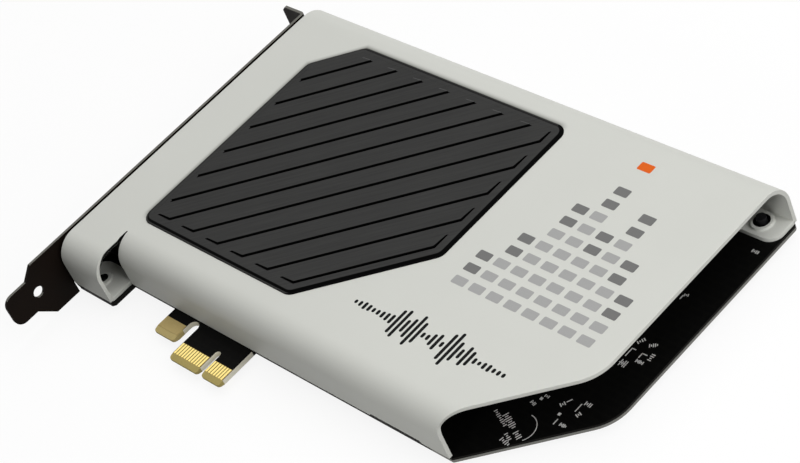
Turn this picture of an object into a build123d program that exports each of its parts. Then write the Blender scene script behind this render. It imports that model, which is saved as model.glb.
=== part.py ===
from build123d import *
import os
from math import sqrt

# Sound card for a computer expansion slot, lying component side up, in millimetres.
# Card coordinates: x = 0 is the bracket's inner face and +X runs to the card's far end, y = 0 is the
# outer face of the cover's front wall above the slot, z = 0 is the component face of the board.
# Every piece is drawn in these coordinates and moved to the part's own frame when it is written.

# Circuit board
BOARD_T = 1.57
BOARD_START_X = 1.4
BOARD_END_X = 169.3
BOARD_FRONT_Y = 0.5
BOARD_BACK_RISE = 5.58
LUG_END_X = 17.4
LUG_INSET = 0.15
LUG_CUT = 0.8
CUT_CORNER_L = 28.4
END_CORNER_R = 12.5
BACK_CORNER_R = 1.5

# Edge connector: a short retention tab, then two contact tabs with a key notch between them
TAB_START_X = 36.3
RETENTION_TAB_W = 8.2
RETENTION_DEPTH = 8.7
HOOK_NOTCH_W = 3.5
HOOK_NOTCH_TOP = 0.9
CONTACT_DEPTH = 13.3
KEY_NOTCH_W = 1.9
KEY_NOTCH_TOP = 5.1
TAB_CORNER_R = 0.8
CONTACT_PITCH = 1.0
CONTACT_W = 0.7
CONTACT_L = 3.7
CONTACT_T = 0.1
CONTACT_COUNTS = (11, 7)
CONTACT_SIDE = 0.25
BEVEL_L = 1.7
BEVEL_DEPTH = 0.45
CUT_PAST = 1.0
PAD_L = 3.6
PAD_SIDE = 0.1

# Cover shell
COVER_WALL = 1.15
COVER_TOP = 14.8
COVER_BEND_R = 7.0
COVER_START_X = 1.0
COVER_BACK_LIP = 0.4
COVER_END_INSET = 0.4
COVER_CUT_INSET = 1.0
BAND_STEP = 7.75
SLIT_W = 0.4
SLIT_Y = 6.4
WALL_NOTCH_START = 27.4
WALL_NOTCH_W = 18.0
WALL_NOTCH_H = 0.7

# Screw feet moulded into the cover, and the screws driven up into them from below
FOOT_T = 1.2
FOOT_R = 6.5
BOSS_H = 1.9
BAND_BOSS_R = 2.6
END_BOSS_R = 3.8
END_RECESS_R = 2.1
END_RECESS_DEPTH = 0.8
SCREW_R = 1.35
SCREW_CLEARANCE = 0.05
BAND_SCREW_TIP_Z = 0.9
END_SCREW_TIP_Z = 3.2
SCREW_HEAD_R = 2.6
SCREW_HEAD_H = 1.2
SCREW_SEAT_GAP = 0.02
DRIVE_W = 0.7
DRIVE_L = 3.0
DRIVE_DEPTH = 0.7
BOARD_HOLE_CLEARANCE = 0.25
BAND_SCREW_X = 9.3
LUG_SCREW_Y = -3.2
BACK_SCREW_DROP = 5.42
END_SCREW_INSET_X = 7.1
END_SCREW_INSET_Y = 4.4
END_FOOT_L = 15.9
END_FOOT_W = 7.85
END_FOOT_R = 3.8

# Louvre panel
PANEL_X = 17.95
PANEL_LX = 89.15
PANEL_FRONT_MARGIN = 11.3
PANEL_BACK_MARGIN = 9.6
PANEL_CUT_BACK = 12.05
PANEL_CUT_FRONT = 28.6
PANEL_R = 3.5
PANEL_RIM_W = 0.8
PANEL_RIM_T = 0.25
PANEL_RISE = 0.5
SLAT_PITCH = 7.15
SLAT_W = 3.1
SLAT_RISE = 0.4
SLAT_FIRST = 6.95
SLAT_MARGIN = 2.95
GROOVE_W = 0.45
GROOVE_DEPTH = 0.35
CLIP_W = 2.4
CLIP_CLEARANCE = 0.1
CLIP_INSET = 18.0
CLIP_HOOK = 0.6
CLIP_HOOK_T = 0.7
CLIP_LEAD = 0.4

# Slot bracket
BRACKET_T = 0.86
BRACKET_W = 18.42
BRACKET_ABOVE = 14.63
BRACKET_TIP_Y = -27.6
BRACKET_L = 120.02
SHOULDER_Y = -15.85
TONGUE_W = 10.19
TONGUE_Z = 6.05
TONGUE_R = 3.0
TONGUE_HOLE_R = 1.65
TONGUE_HOLE = (-17.5, 5.85)
FLANGE_L = 9.5
FLANGE_CHAMFER = 1.4
BEND_R = 0.4
FLANGE_ROOT = 0.5
NOTCH_W = 4.42
NOTCH_EDGE = 3.8
NOTCH_DEPTH = 6.35
TAB_L = 14.5
TAB_W = 7.6
TAB_RELIEF = 0.5
TAB_CUT = 1.6

# Audio jacks and the optical socket behind the bracket
JACK_COUNT = 5
JACK_Z = 5.6
JACK_BORE_R = 1.8
JACK_BORE_L = 14.2
JACK_NOSE_R = 3.0
JACK_NOSE_L = 2.9
JACK_W = 10.6
JACK_L = 13.4
JACK_H = 10.2
JACK_HOLE_CLEARANCE = 0.25
JACK_EDGE = 1.2
SEAT_GAP = 0.1
OPTIC_W = 9.7
OPTIC_H = 10.0
OPTIC_L = 13.0
OPTIC_NOSE_W = 8.6
OPTIC_NOSE_L = 2.3
OPTIC_WALL = 0.9
OPTIC_MOUTH_L = 8.0
OPTIC_FIBRE_R = 1.2
OPTIC_FIBRE_L = 3.0

# Components under the cover, each on a thin film of solder, with every column placed from the one before
SOLDER_FILM = 0.02
FILM_STEP = 11.5
FILM_SIZE = (7.2, 4.4, 3.6)
OPAMP_STEP = 12.5
OPAMP_SIZE = (5.0, 5.0, 0.9)
RESISTOR_STEP = 6.0
RESISTOR_COUNT = 12
CONVERTER_STEP = 17.0
CONVERTER_Y = 36.0
CONVERTER_SIZE = (7.0, 7.0, 0.9)
BRIDGE_STEP = 20.0
BRIDGE_Y = 16.0
BRIDGE_SIZE = (9.0, 9.0, 1.1)
PROCESSOR_STEP = 44.0
PROCESSOR_Y = 42.0
PROCESSOR_SIZE = (16.0, 16.0, 1.4)
PROCESSOR_LEADS = 5
LEAD_PITCH = 1.27
LEAD_W = 0.45
LEAD_T = 0.2
LEAD_L = 1.1
LEAD_SHOULDER = 0.35
LEAD_KNEE = 0.6
CHIP_SIZE = (1.6, 0.9, 0.5)
CHIP_PITCH = 2.6
CHIP_STEP = 12.0
CHIP_COUNT = 6
CRYSTAL_STEP = 13.5
CRYSTAL_SIZE = (7.0, 5.0, 1.7)
CRYSTAL_GAP = 2.5
RELAY_STEP = 5.0
RELAY_INSET = 22.0
RELAY_SIZE = (14.0, 7.4, 8.0)
RELAY_GAP = 2.2
SUPPLY_INSET = 31.0
SUPPLY_COUNT = 3
RESERVOIR_INSET = 44.3
RESERVOIR_R = 4.0
RESERVOIR_H = 9.4
RESERVOIR_GAP = 2.0
REGULATOR_STEP = 12.5
REGULATOR_SIZE = (6.1, 6.5, 2.3)
HEAT_TAB_T = 0.5
HEAT_TAB_L = 2.2
INDUCTOR_STEP = 10.5
INDUCTOR_SIZE = (6.6, 6.6, 3.0)
INDUCTOR_CUT = 1.2
SOLDER_R = 0.95
SOLDER_SIDES = 8
SOLDER_H = 1.05
JACK_PIN_X = 4.0
JACK_PIN_SPREAD = 6.6

# Values worked out from the sizes above
ROOT_2 = sqrt(2)
FLANGE_TOP_Y = BRACKET_TIP_Y + BRACKET_L
BOARD_BACK_Y = FLANGE_TOP_Y + BOARD_BACK_RISE
BOARD_UNDER = -BOARD_T
BOARD_HOLE_R = SCREW_R + BOARD_HOLE_CLEARANCE
CUT_CORNER_X = BOARD_END_X - CUT_CORNER_L
COVER_UNDER = COVER_TOP - COVER_WALL
COVER_END_X = BOARD_END_X - COVER_END_INSET
COVER_BACK_Y = BOARD_BACK_Y + COVER_BACK_LIP
BACK_WALL_IN = COVER_BACK_Y - COVER_WALL
BAND_FRONT_Y = -BAND_STEP
BAND_END_X = LUG_END_X - SLIT_W / 2
MAIN_START_X = LUG_END_X + SLIT_W / 2
LUG_FRONT_Y = BAND_FRONT_Y + LUG_INSET
LUG_SCREW = (BAND_SCREW_X, LUG_SCREW_Y)
BACK_SCREW = (BAND_SCREW_X, FLANGE_TOP_Y - BACK_SCREW_DROP)
END_SCREW = (BOARD_END_X - END_SCREW_INSET_X, BOARD_BACK_Y - END_SCREW_INSET_Y)
SCREW_SPOTS = [LUG_SCREW, BACK_SCREW, END_SCREW]
TAB_SCREWS = [LUG_SCREW, BACK_SCREW]
TAB_UNDER = BOARD_UNDER - BRACKET_T
BRACKET_LOW = BRACKET_ABOVE - BRACKET_W
NOTCH_X = NOTCH_EDGE - FLANGE_L
PANEL_Y = PANEL_FRONT_MARGIN
PANEL_END_X = PANEL_X + PANEL_LX
PANEL_BACK_Y = COVER_BACK_Y - PANEL_BACK_MARGIN
PANEL_LY = PANEL_BACK_Y - PANEL_Y
PANEL_BASE = COVER_TOP + PANEL_RIM_T
PANEL_TOP = PANEL_BASE + PANEL_RISE
SLAT_RUN = (PANEL_LX + PANEL_LY - PANEL_CUT_BACK - PANEL_CUT_FRONT) / ROOT_2
SLAT_COUNT = int((SLAT_RUN - SLAT_FIRST) / SLAT_PITCH) + 1
CONTACT_START_X = TAB_START_X + RETENTION_TAB_W + HOOK_NOTCH_W
CONTACT_TAB_WIDTHS = [CONTACT_PITCH * n + CONTACT_SIDE for n in CONTACT_COUNTS]
KEY_START_X = CONTACT_START_X + CONTACT_TAB_WIDTHS[0]
LAST_TAB_X = KEY_START_X + KEY_NOTCH_W
CONNECTOR_END_X = LAST_TAB_X + CONTACT_TAB_WIDTHS[1]
CONTACT_TIP_Y = BOARD_FRONT_Y - CONTACT_DEPTH
RETENTION_TIP_Y = BOARD_FRONT_Y - RETENTION_DEPTH

# The sockets share the room between the two feet of the band evenly
SOCKET_START_Y = LUG_SCREW[1] + FOOT_R
SOCKET_ROOM = BACK_SCREW[1] - FOOT_R - SOCKET_START_Y
SOCKET_GAP = (SOCKET_ROOM - JACK_COUNT * JACK_W - OPTIC_W) / (JACK_COUNT + 2)
JACK_PITCH = JACK_W + SOCKET_GAP
JACK_YS = [SOCKET_START_Y + SOCKET_GAP + JACK_W / 2 + JACK_PITCH * i for i in range(JACK_COUNT)]
OPTIC_Y = JACK_YS[-1] + (JACK_W + OPTIC_W) / 2 + SOCKET_GAP
OPTIC_MOUTH = OPTIC_NOSE_W - 2 * OPTIC_WALL

# Component columns, from the jacks to the far end and from the far end back
FILM_X = SEAT_GAP + JACK_L + FILM_STEP
OPAMP_X = FILM_X + OPAMP_STEP
RESISTOR_X = OPAMP_X + RESISTOR_STEP
CONVERTER_AT = (OPAMP_X + CONVERTER_STEP, CONVERTER_Y)
BRIDGE_AT = (OPAMP_X + BRIDGE_STEP, BRIDGE_Y)
PROCESSOR_AT = (OPAMP_X + PROCESSOR_STEP, PROCESSOR_Y)
CRYSTAL_AT = (PROCESSOR_AT[0] - PROCESSOR_SIZE[0] / 2, PROCESSOR_Y + CRYSTAL_STEP)
RELAY_AT = (FILM_X + RELAY_STEP, BOARD_BACK_Y - RELAY_INSET)
SUPPLY_Y = BOARD_BACK_Y - SUPPLY_INSET
SUPPLY_PITCH = 2 * RESERVOIR_R + RESERVOIR_GAP
RESERVOIR_X = BOARD_END_X - RESERVOIR_INSET
REGULATOR_X = RESERVOIR_X - REGULATOR_STEP
INDUCTOR_X = REGULATOR_X - INDUCTOR_STEP
OPAMP_SPOTS = [(OPAMP_X, y) for y in JACK_YS]
REGULATOR_SPOTS = [(REGULATOR_X, SUPPLY_Y + SUPPLY_PITCH * i) for i in range(SUPPLY_COUNT)]
INDUCTOR_SPOTS = [(INDUCTOR_X, y) for _, y in REGULATOR_SPOTS]
RESERVOIR_SPOTS = [(RESERVOIR_X, y) for _, y in REGULATOR_SPOTS]
FILM_SPOTS = [(FILM_X, y + side * JACK_PITCH / 4) for y in JACK_YS for side in (-1, 1)]

# The part's own frame: its origin is under the middle of its box, on the surface it lies on
ORIGIN_X = (BOARD_END_X - FLANGE_L) / 2
ORIGIN_Y = (COVER_BACK_Y + BRACKET_TIP_Y) / 2
TO_PART = Pos(-ORIGIN_X, -ORIGIN_Y, -BRACKET_LOW)


def block(x0, x1, y0, y1, z0, z1):
    """A box between two opposite corners."""
    return Pos((x0 + x1) / 2, (y0 + y1) / 2, (z0 + z1) / 2) * Box(x1 - x0, y1 - y0, z1 - z0)


def chip(at, size):
    """A box of a component's size standing on the board, centred on a point."""
    return Pos(at[0], at[1], SOLDER_FILM + size[2] / 2) * Box(*size)


def post(at, radius, z0, z1):
    """An upright cylinder between two heights."""
    return Pos(at[0], at[1], (z0 + z1) / 2) * Cylinder(radius, z1 - z0)


def barrel(y, z, radius, x0, x1):
    """A cylinder along X between two places."""
    return Pos((x0 + x1) / 2, y, z) * Rot(0, 90, 0) * Cylinder(radius, x1 - x0)


def corner(sketch, x, y):
    """The sketch vertices at a plan point."""
    return [v for v in sketch.vertices() if abs(v.X - x) + abs(v.Y - y) < 0.01]


def side_profile(sketch, x0, x1):
    """A sketch drawn in (Y, Z), carried along X."""
    return Pos(x0, 0, 0) * extrude(Plane.YZ * sketch, x1 - x0)


def group(solids):
    """Separate solids of one kind that share a node."""
    return Compound(children=list(solids))


# Circuit board
def end_outline(inset_end, inset_cut, front_y, back_y, start_x):
    """Plan outline of the card's far end: straight back, 45 degree cut corner and a round between."""
    end_x = BOARD_END_X - inset_end
    cut = CUT_CORNER_X - inset_cut * ROOT_2
    turn = (end_x, end_x - cut)
    points = [(start_x, front_y), (cut + front_y, front_y), turn, (end_x, back_y), (start_x, back_y)]
    face = make_face(Polyline(*points, close=True))
    return fillet(corner(face, *turn), END_CORNER_R)


def tab(x0, x1, tip_y):
    """A connector tab below the board's front edge, with rounded tip corners."""
    sketch = Pos((x0 + x1) / 2, (tip_y + BOARD_FRONT_Y) / 2) * Rectangle(x1 - x0, BOARD_FRONT_Y - tip_y)
    return fillet(corner(sketch, x0, tip_y) + corner(sketch, x1, tip_y), TAB_CORNER_R)


def round_notch(x0, width, top_depth):
    """Plan of a notch with a round top, open towards the connector's edge."""
    tip = CONTACT_TIP_Y - CUT_PAST
    top = BOARD_FRONT_Y - top_depth
    straight = top - width / 2
    middle = x0 + width / 2
    body = Pos(middle, (tip + straight) / 2) * Rectangle(width, straight - tip)
    return body + Pos(middle, straight) * Circle(width / 2)


def bevel(x0, x1, tip_y):
    """The two wedges that a connector edge's bevel takes off, one on each face."""
    past, start = tip_y - CUT_PAST, tip_y + BEVEL_L
    top = [(past, CUT_PAST), (past, -BEVEL_DEPTH), (tip_y, -BEVEL_DEPTH), (start, 0), (start, CUT_PAST)]
    under = [(y, BOARD_UNDER - z) for y, z in top]
    return [side_profile(make_face(Polyline(*points, close=True)), x0, x1) for points in (top, under)]


def circuit_board():
    plan = end_outline(0, 0, BOARD_FRONT_Y, BOARD_BACK_Y, BOARD_START_X)
    plan = fillet(corner(plan, BOARD_END_X, BOARD_BACK_Y), BACK_CORNER_R)
    lug_y = (LUG_FRONT_Y + BOARD_FRONT_Y) / 2
    lug_size = (LUG_END_X - BOARD_START_X, BOARD_FRONT_Y - LUG_FRONT_Y)
    lug = Pos((BOARD_START_X + LUG_END_X) / 2, lug_y) * Rectangle(*lug_size)
    lug_ends = corner(lug, BOARD_START_X, LUG_FRONT_Y) + corner(lug, LUG_END_X, LUG_FRONT_Y)
    plan += chamfer(lug_ends, LUG_CUT)
    plan += tab(TAB_START_X, TAB_START_X + RETENTION_TAB_W, RETENTION_TIP_Y)
    plan += tab(TAB_START_X + RETENTION_TAB_W, CONTACT_START_X, BOARD_FRONT_Y - 2 * HOOK_NOTCH_W)
    plan += tab(CONTACT_START_X, KEY_START_X, CONTACT_TIP_Y)
    plan += tab(LAST_TAB_X, CONNECTOR_END_X, CONTACT_TIP_Y)
    web_y = BOARD_FRONT_Y - 2 * KEY_NOTCH_TOP
    web = Pos(KEY_START_X + KEY_NOTCH_W / 2, (web_y + BOARD_FRONT_Y) / 2)
    plan += web * Rectangle(KEY_NOTCH_W, BOARD_FRONT_Y - web_y)
    plan -= round_notch(TAB_START_X + RETENTION_TAB_W, HOOK_NOTCH_W, HOOK_NOTCH_TOP)
    plan -= round_notch(KEY_START_X, KEY_NOTCH_W, KEY_NOTCH_TOP)
    board = Pos(0, 0, BOARD_UNDER) * extrude(plan, BOARD_T)
    board -= bevel(CONTACT_START_X, CONNECTOR_END_X, CONTACT_TIP_Y)
    board -= bevel(TAB_START_X, TAB_START_X + RETENTION_TAB_W, RETENTION_TIP_Y)
    return board - [post(spot, BOARD_HOLE_R, BOARD_UNDER, 0) for spot in SCREW_SPOTS]


def edge_contacts(z0):
    pads = []
    low_y = CONTACT_TIP_Y + BEVEL_L
    for start, count in zip((CONTACT_START_X, LAST_TAB_X), CONTACT_COUNTS):
        first = start + (CONTACT_SIDE + CONTACT_PITCH - CONTACT_W) / 2
        for i in range(count):
            x = first + CONTACT_PITCH * i
            pads.append(block(x, x + CONTACT_W, low_y, low_y + CONTACT_L, z0, z0 + CONTACT_T))
    return group(pads)


def retention_plating():
    low_y = RETENTION_TIP_Y + BEVEL_L
    x0 = TAB_START_X + PAD_SIDE
    x1 = TAB_START_X + RETENTION_TAB_W - PAD_SIDE
    return group(block(x0, x1, low_y, low_y + PAD_L, z, z + CONTACT_T) for z in (0, BOARD_UNDER - CONTACT_T))


# Cover shell
def arch(front_y, inset):
    """Cover section in (Y, Z): two upright walls and a top with rounded shoulders, as a filled face."""
    y0 = front_y + inset
    y1 = COVER_BACK_Y - inset
    top = COVER_TOP - inset
    face = Pos((y0 + y1) / 2, top / 2) * Rectangle(y1 - y0, top)
    return fillet(corner(face, y0, top) + corner(face, y1, top), COVER_BEND_R - inset)


def bent_sheet(front_y, x0, x1):
    """The cover's wall between two places along the card, for one line of the front wall."""
    return side_profile(arch(front_y, 0) - arch(front_y, COVER_WALL), x0, x1)


def foot_pad(spot, x0, x1, wall_y):
    """Floor of a screw foot: a round pad carried out to the wall that it grows from."""
    reach = block(x0, x1, min(spot[1], wall_y), max(spot[1], wall_y), 0, FOOT_T)
    return reach + post(spot, FOOT_R, 0, FOOT_T) + post(spot, BAND_BOSS_R, 0, BOSS_H)


def end_foot():
    """The foot in the open far corner, with one rounded free corner."""
    front_y = BACK_WALL_IN - END_FOOT_W
    middle = Pos(COVER_END_X - END_FOOT_L / 2, BACK_WALL_IN - END_FOOT_W / 2)
    plan = middle * Rectangle(END_FOOT_L, END_FOOT_W)
    plan = fillet(corner(plan, COVER_END_X, front_y), END_FOOT_R)
    return extrude(plan, FOOT_T) + post(END_SCREW, END_BOSS_R, 0, BOSS_H)


def cover_shell():
    shell = bent_sheet(BAND_FRONT_Y, COVER_START_X, LUG_END_X) + bent_sheet(0, LUG_END_X, COVER_END_X)
    plan = end_outline(COVER_END_INSET, COVER_CUT_INSET, BAND_FRONT_Y, COVER_BACK_Y, COVER_START_X)
    shell &= extrude(plan, COVER_TOP)
    shell -= block(BAND_END_X, MAIN_START_X, BAND_FRONT_Y, SLIT_Y, 0, COVER_TOP)
    notch_x = CUT_CORNER_X - WALL_NOTCH_START
    shell -= block(notch_x, notch_x + WALL_NOTCH_W, 0, COVER_WALL, 0, WALL_NOTCH_H)
    band = block(COVER_START_X, BAND_END_X, BAND_FRONT_Y, COVER_BACK_Y, 0, COVER_TOP)
    shell += band & foot_pad(LUG_SCREW, COVER_START_X, BAND_END_X, BAND_FRONT_Y + COVER_WALL)
    shell += band & foot_pad(BACK_SCREW, COVER_START_X, BAND_END_X, BACK_WALL_IN)
    shell += end_foot()
    for spot in SCREW_SPOTS:
        shell -= post(spot, SCREW_R + SCREW_CLEARANCE, 0, BOSS_H)
    shell -= post(END_SCREW, END_RECESS_R, BOSS_H - END_RECESS_DEPTH, BOSS_H)
    hole_w = CLIP_W + 2 * CLIP_CLEARANCE
    hole = Pos(0, 0, COVER_TOP - COVER_WALL / 2) * Box(hole_w, hole_w, COVER_WALL)
    return shell - [Pos(x, y, 0) * hole for x, y in clip_spots()]


def cover_screw(spot):
    """Pan-head screw driven up from below, seated on the board or on the bracket's tab."""
    in_band = spot in TAB_SCREWS
    seat = (TAB_UNDER if in_band else BOARD_UNDER) - SCREW_SEAT_GAP
    low = seat - SCREW_HEAD_H
    tip = BAND_SCREW_TIP_Z if in_band else END_SCREW_TIP_Z
    screw = post(spot, SCREW_HEAD_R, low, seat) + post(spot, SCREW_R, seat, tip)
    for size in ((DRIVE_L, DRIVE_W), (DRIVE_W, DRIVE_L)):
        screw -= Pos(*spot, low + DRIVE_DEPTH / 2) * Box(*size, DRIVE_DEPTH)
    return screw


# Louvre panel
def panel_outline(inset):
    """Plan of the panel: a rectangle with two corners cut at 45 degrees, every corner rounded."""
    x0, x1 = PANEL_X + inset, PANEL_END_X - inset
    y0, y1 = PANEL_Y + inset, PANEL_BACK_Y - inset
    shorter = inset * (2 - ROOT_2)
    back, front = PANEL_CUT_BACK - shorter, PANEL_CUT_FRONT - shorter
    points = [(x0, y0), (x1 - front, y0), (x1, y0 + front), (x1, y1), (x0 + back, y1), (x0, y1 - back)]
    face = make_face(Polyline(*points, close=True))
    return fillet(face.vertices(), PANEL_R - inset)


def clip_spots():
    """Where the panel's clips pass through the cover."""
    x0, x1 = PANEL_X + CLIP_INSET, PANEL_END_X - CLIP_INSET
    y0, y1 = PANEL_Y + CLIP_INSET, PANEL_BACK_Y - CLIP_INSET
    return [(x0, y0), (x0, y1), (x1, y0), (x1, y1)]


def clip(spot):
    """A square leg through the cover, with a hook under it on two sides and a tapered lead-in."""
    half = CLIP_W / 2
    hook, hook_z = half + CLIP_HOOK, COVER_UNDER - CLIP_HOOK_T
    leg = [(half, COVER_TOP), (half, COVER_UNDER)]
    barb = [(hook, COVER_UNDER), (hook, hook_z), (half, hook_z - CLIP_LEAD)]
    right = leg + barb
    left = [(-x, z) for x, z in reversed(right)]
    section = make_face(Polyline(*right, *left, close=True))
    return Pos(spot[0], spot[1], 0) * extrude(Plane.XZ * section, half, both=True)


def across_slats(index):
    """Plane square to a slat: its x axis points across the slats to the front, its y axis up."""
    back_cut = (PANEL_X + PANEL_CUT_BACK / 2, PANEL_BACK_Y - PANEL_CUT_BACK / 2)
    step = (SLAT_FIRST + SLAT_PITCH * index) / ROOT_2
    return Plane(origin=(back_cut[0] + step, back_cut[1] - step, 0), x_dir=(1, -1, 0), z_dir=(-1, -1, 0))


def louvre_panel():
    panel = Pos(0, 0, COVER_TOP) * extrude(panel_outline(0), PANEL_RIM_T)
    panel += Pos(0, 0, PANEL_BASE) * extrude(panel_outline(PANEL_RIM_W), PANEL_RISE)
    edge = PANEL_RIM_W + SLAT_MARGIN
    window = block(PANEL_X + edge, PANEL_END_X - edge, PANEL_Y + edge, PANEL_BACK_Y - edge,
                   COVER_TOP, PANEL_TOP + SLAT_RISE)
    reach = PANEL_LX + PANEL_LY
    groove_z = PANEL_TOP - GROOVE_DEPTH
    wedge = [(-SLAT_W, PANEL_BASE), (0, PANEL_BASE), (0, PANEL_TOP + SLAT_RISE), (-SLAT_W, PANEL_TOP)]
    groove = [(0, groove_z), (GROOVE_W, groove_z), (GROOVE_W, PANEL_TOP), (0, PANEL_TOP)]
    for i in range(SLAT_COUNT):
        section = across_slats(i) * make_face(Polyline(*groove, close=True))
        panel -= window & extrude(section, reach, both=True)
    for i in range(SLAT_COUNT):
        section = across_slats(i) * make_face(Polyline(*wedge, close=True))
        panel += window & extrude(section, reach, both=True)
    for spot in clip_spots():
        panel += clip(spot)
    return panel


# Slot bracket
def bracket_plate():
    """The bracket's flat, drawn in (Y, Z): full width above, 45 degree shoulders and a round tongue."""
    top_y = FLANGE_TOP_Y - BRACKET_T - BEND_R - FLANGE_ROOT
    tongue_low, tongue_high = TONGUE_Z - TONGUE_W / 2, TONGUE_Z + TONGUE_W / 2
    neck_low = SHOULDER_Y - (tongue_low - BRACKET_LOW)
    neck_high = SHOULDER_Y - (BRACKET_ABOVE - tongue_high)
    lower = [(top_y, BRACKET_LOW), (SHOULDER_Y, BRACKET_LOW), (neck_low, tongue_low)]
    tip = [(BRACKET_TIP_Y, tongue_low), (BRACKET_TIP_Y, tongue_high)]
    upper = [(neck_high, tongue_high), (SHOULDER_Y, BRACKET_ABOVE), (top_y, BRACKET_ABOVE)]
    face = make_face(Polyline(*lower, *tip, *upper, close=True))
    tips = corner(face, BRACKET_TIP_Y, tongue_low) + corner(face, BRACKET_TIP_Y, tongue_high)
    return side_profile(fillet(tips, TONGUE_R), -BRACKET_T, 0)


def bracket_flange():
    """The outward fold at the top, with a screw notch open to the solder side."""
    top, under = FLANGE_TOP_Y, FLANGE_TOP_Y - BRACKET_T
    start = under - BEND_R - FLANGE_ROOT
    outside = [(0, start), (0, top), (-FLANGE_L, top)]
    inside = [(-FLANGE_L, under), (-BRACKET_T, under), (-BRACKET_T, start)]
    face = make_face(Polyline(*outside, *inside, close=True))
    face = fillet(corner(face, 0, top), BEND_R + BRACKET_T)
    face = fillet(corner(face, -BRACKET_T, under), BEND_R)
    fold = Pos(0, 0, BRACKET_LOW) * extrude(face, BRACKET_W)
    centre_z = BRACKET_LOW + NOTCH_DEPTH - NOTCH_W / 2
    half = NOTCH_W / 2
    fold -= block(NOTCH_X - half, NOTCH_X + half, start, top, BRACKET_LOW, centre_z)
    fold -= Pos(NOTCH_X, top, centre_z) * Rot(90, 0, 0) * Cylinder(half, 2 * BRACKET_W)
    outer = [e for e in fold.edges().filter_by(Axis.Y) if abs(e.center().X + FLANGE_L) < 0.01]
    return chamfer(outer, FLANGE_CHAMFER)


def bracket_tab(spot):
    """A tab folded in under the board from the bracket's lower edge, with its screw hole."""
    inside = [(-BRACKET_T, 0), (0, 0), (0, BOARD_UNDER), (TAB_L, BOARD_UNDER)]
    outside = [(TAB_L, TAB_UNDER), (-BRACKET_T, TAB_UNDER)]
    face = make_face(Polyline(*inside, *outside, close=True))
    face = fillet(corner(face, 0, BOARD_UNDER), BEND_R)
    face = fillet(corner(face, -BRACKET_T, TAB_UNDER), BEND_R + BRACKET_T)
    fold = Pos(0, spot[1] + TAB_W / 2, 0) * extrude(Plane.XZ * face, TAB_W)
    ends = [e for e in fold.edges().filter_by(Axis.Z) if abs(e.center().X - TAB_L) < 0.01]
    return chamfer(ends, TAB_CUT) - post(spot, BOARD_HOLE_R, TAB_UNDER, BOARD_UNDER)


def slot_bracket():
    bracket = bracket_plate() + bracket_flange()
    for spot in TAB_SCREWS:
        half = TAB_W / 2 + TAB_RELIEF
        bracket -= block(-BRACKET_T, 0, spot[1] - half, spot[1] + half, BRACKET_LOW, 0)
        bracket += bracket_tab(spot)
    bracket -= barrel(*TONGUE_HOLE, TONGUE_HOLE_R, -BRACKET_T, 0)
    bracket -= [barrel(y, JACK_Z, JACK_NOSE_R + JACK_HOLE_CLEARANCE, -BRACKET_T, 0) for y in JACK_YS]
    half = OPTIC_NOSE_W / 2 + JACK_HOLE_CLEARANCE
    middle = OPTIC_H / 2
    return bracket - block(-BRACKET_T, 0, OPTIC_Y - half, OPTIC_Y + half, middle - half, middle + half)


# Sockets
def audio_jack(y):
    """A 3.5 mm jack: a moulded body with chamfered top edges and a round nose through the bracket."""
    body = block(SEAT_GAP, SEAT_GAP + JACK_L, y - JACK_W / 2, y + JACK_W / 2, 0, JACK_H)
    body = chamfer(body.edges().filter_by(Axis.X).group_by(Axis.Z)[-1], JACK_EDGE)
    body += barrel(y, JACK_Z, JACK_NOSE_R, -JACK_NOSE_L, SEAT_GAP)
    return body - barrel(y, JACK_Z, JACK_BORE_R, -JACK_NOSE_L, JACK_BORE_L - JACK_NOSE_L)


def optical_socket():
    """A square-nosed socket with the light guide's pin standing at the bottom of its mouth."""
    middle = OPTIC_H / 2
    body = block(SEAT_GAP, SEAT_GAP + OPTIC_L, OPTIC_Y - OPTIC_W / 2, OPTIC_Y + OPTIC_W / 2, 0, OPTIC_H)
    half = OPTIC_NOSE_W / 2
    body += block(-OPTIC_NOSE_L, SEAT_GAP, OPTIC_Y - half, OPTIC_Y + half, middle - half, middle + half)
    half = OPTIC_MOUTH / 2
    floor_x = OPTIC_MOUTH_L - OPTIC_NOSE_L
    body -= block(-OPTIC_NOSE_L, floor_x, OPTIC_Y - half, OPTIC_Y + half, middle - half, middle + half)
    return body + barrel(OPTIC_Y, middle, OPTIC_FIBRE_R, floor_x - OPTIC_FIBRE_L, floor_x)


# Components under the cover
def can(at):
    """An electrolytic capacitor's can."""
    return post(at, RESERVOIR_R, SOLDER_FILM, RESERVOIR_H)


def crystal_spots():
    return [(CRYSTAL_AT[0] + (CRYSTAL_SIZE[0] + CRYSTAL_GAP) * i, CRYSTAL_AT[1]) for i in range(2)]


def relay_spots():
    return [(RELAY_AT[0], RELAY_AT[1] + (RELAY_SIZE[1] + RELAY_GAP) * i) for i in range(2)]


def processor_leads():
    """Gull-wing leads along the four sides of the processor, level with the middle of its body."""
    high = (PROCESSOR_SIZE[2] + LEAD_T) / 2
    outside = [(0, high), (LEAD_SHOULDER, high), (LEAD_KNEE, LEAD_T), (LEAD_L, LEAD_T)]
    inside = [(LEAD_L, 0), (LEAD_SHOULDER, 0), (0, high - LEAD_T)]
    section = make_face(Polyline(*outside, *inside, close=True))
    lead = extrude(Plane.XZ * section, LEAD_W / 2, both=True)
    rows = []
    for turn in range(4):
        side = Pos(*PROCESSOR_AT, SOLDER_FILM) * Rot(0, 0, 90 * turn)
        first = Pos(PROCESSOR_SIZE[turn % 2] / 2, -LEAD_PITCH * (PROCESSOR_LEADS - 1) / 2, 0)
        rows += [side * first * Pos(0, LEAD_PITCH * i, 0) * lead for i in range(PROCESSOR_LEADS)]
    return group(rows)


def inductor(at):
    """A shielded power inductor: a square block with cut upright edges."""
    body = chip(at, INDUCTOR_SIZE)
    return chamfer(body.edges().filter_by(Axis.Z), INDUCTOR_CUT)


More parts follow.
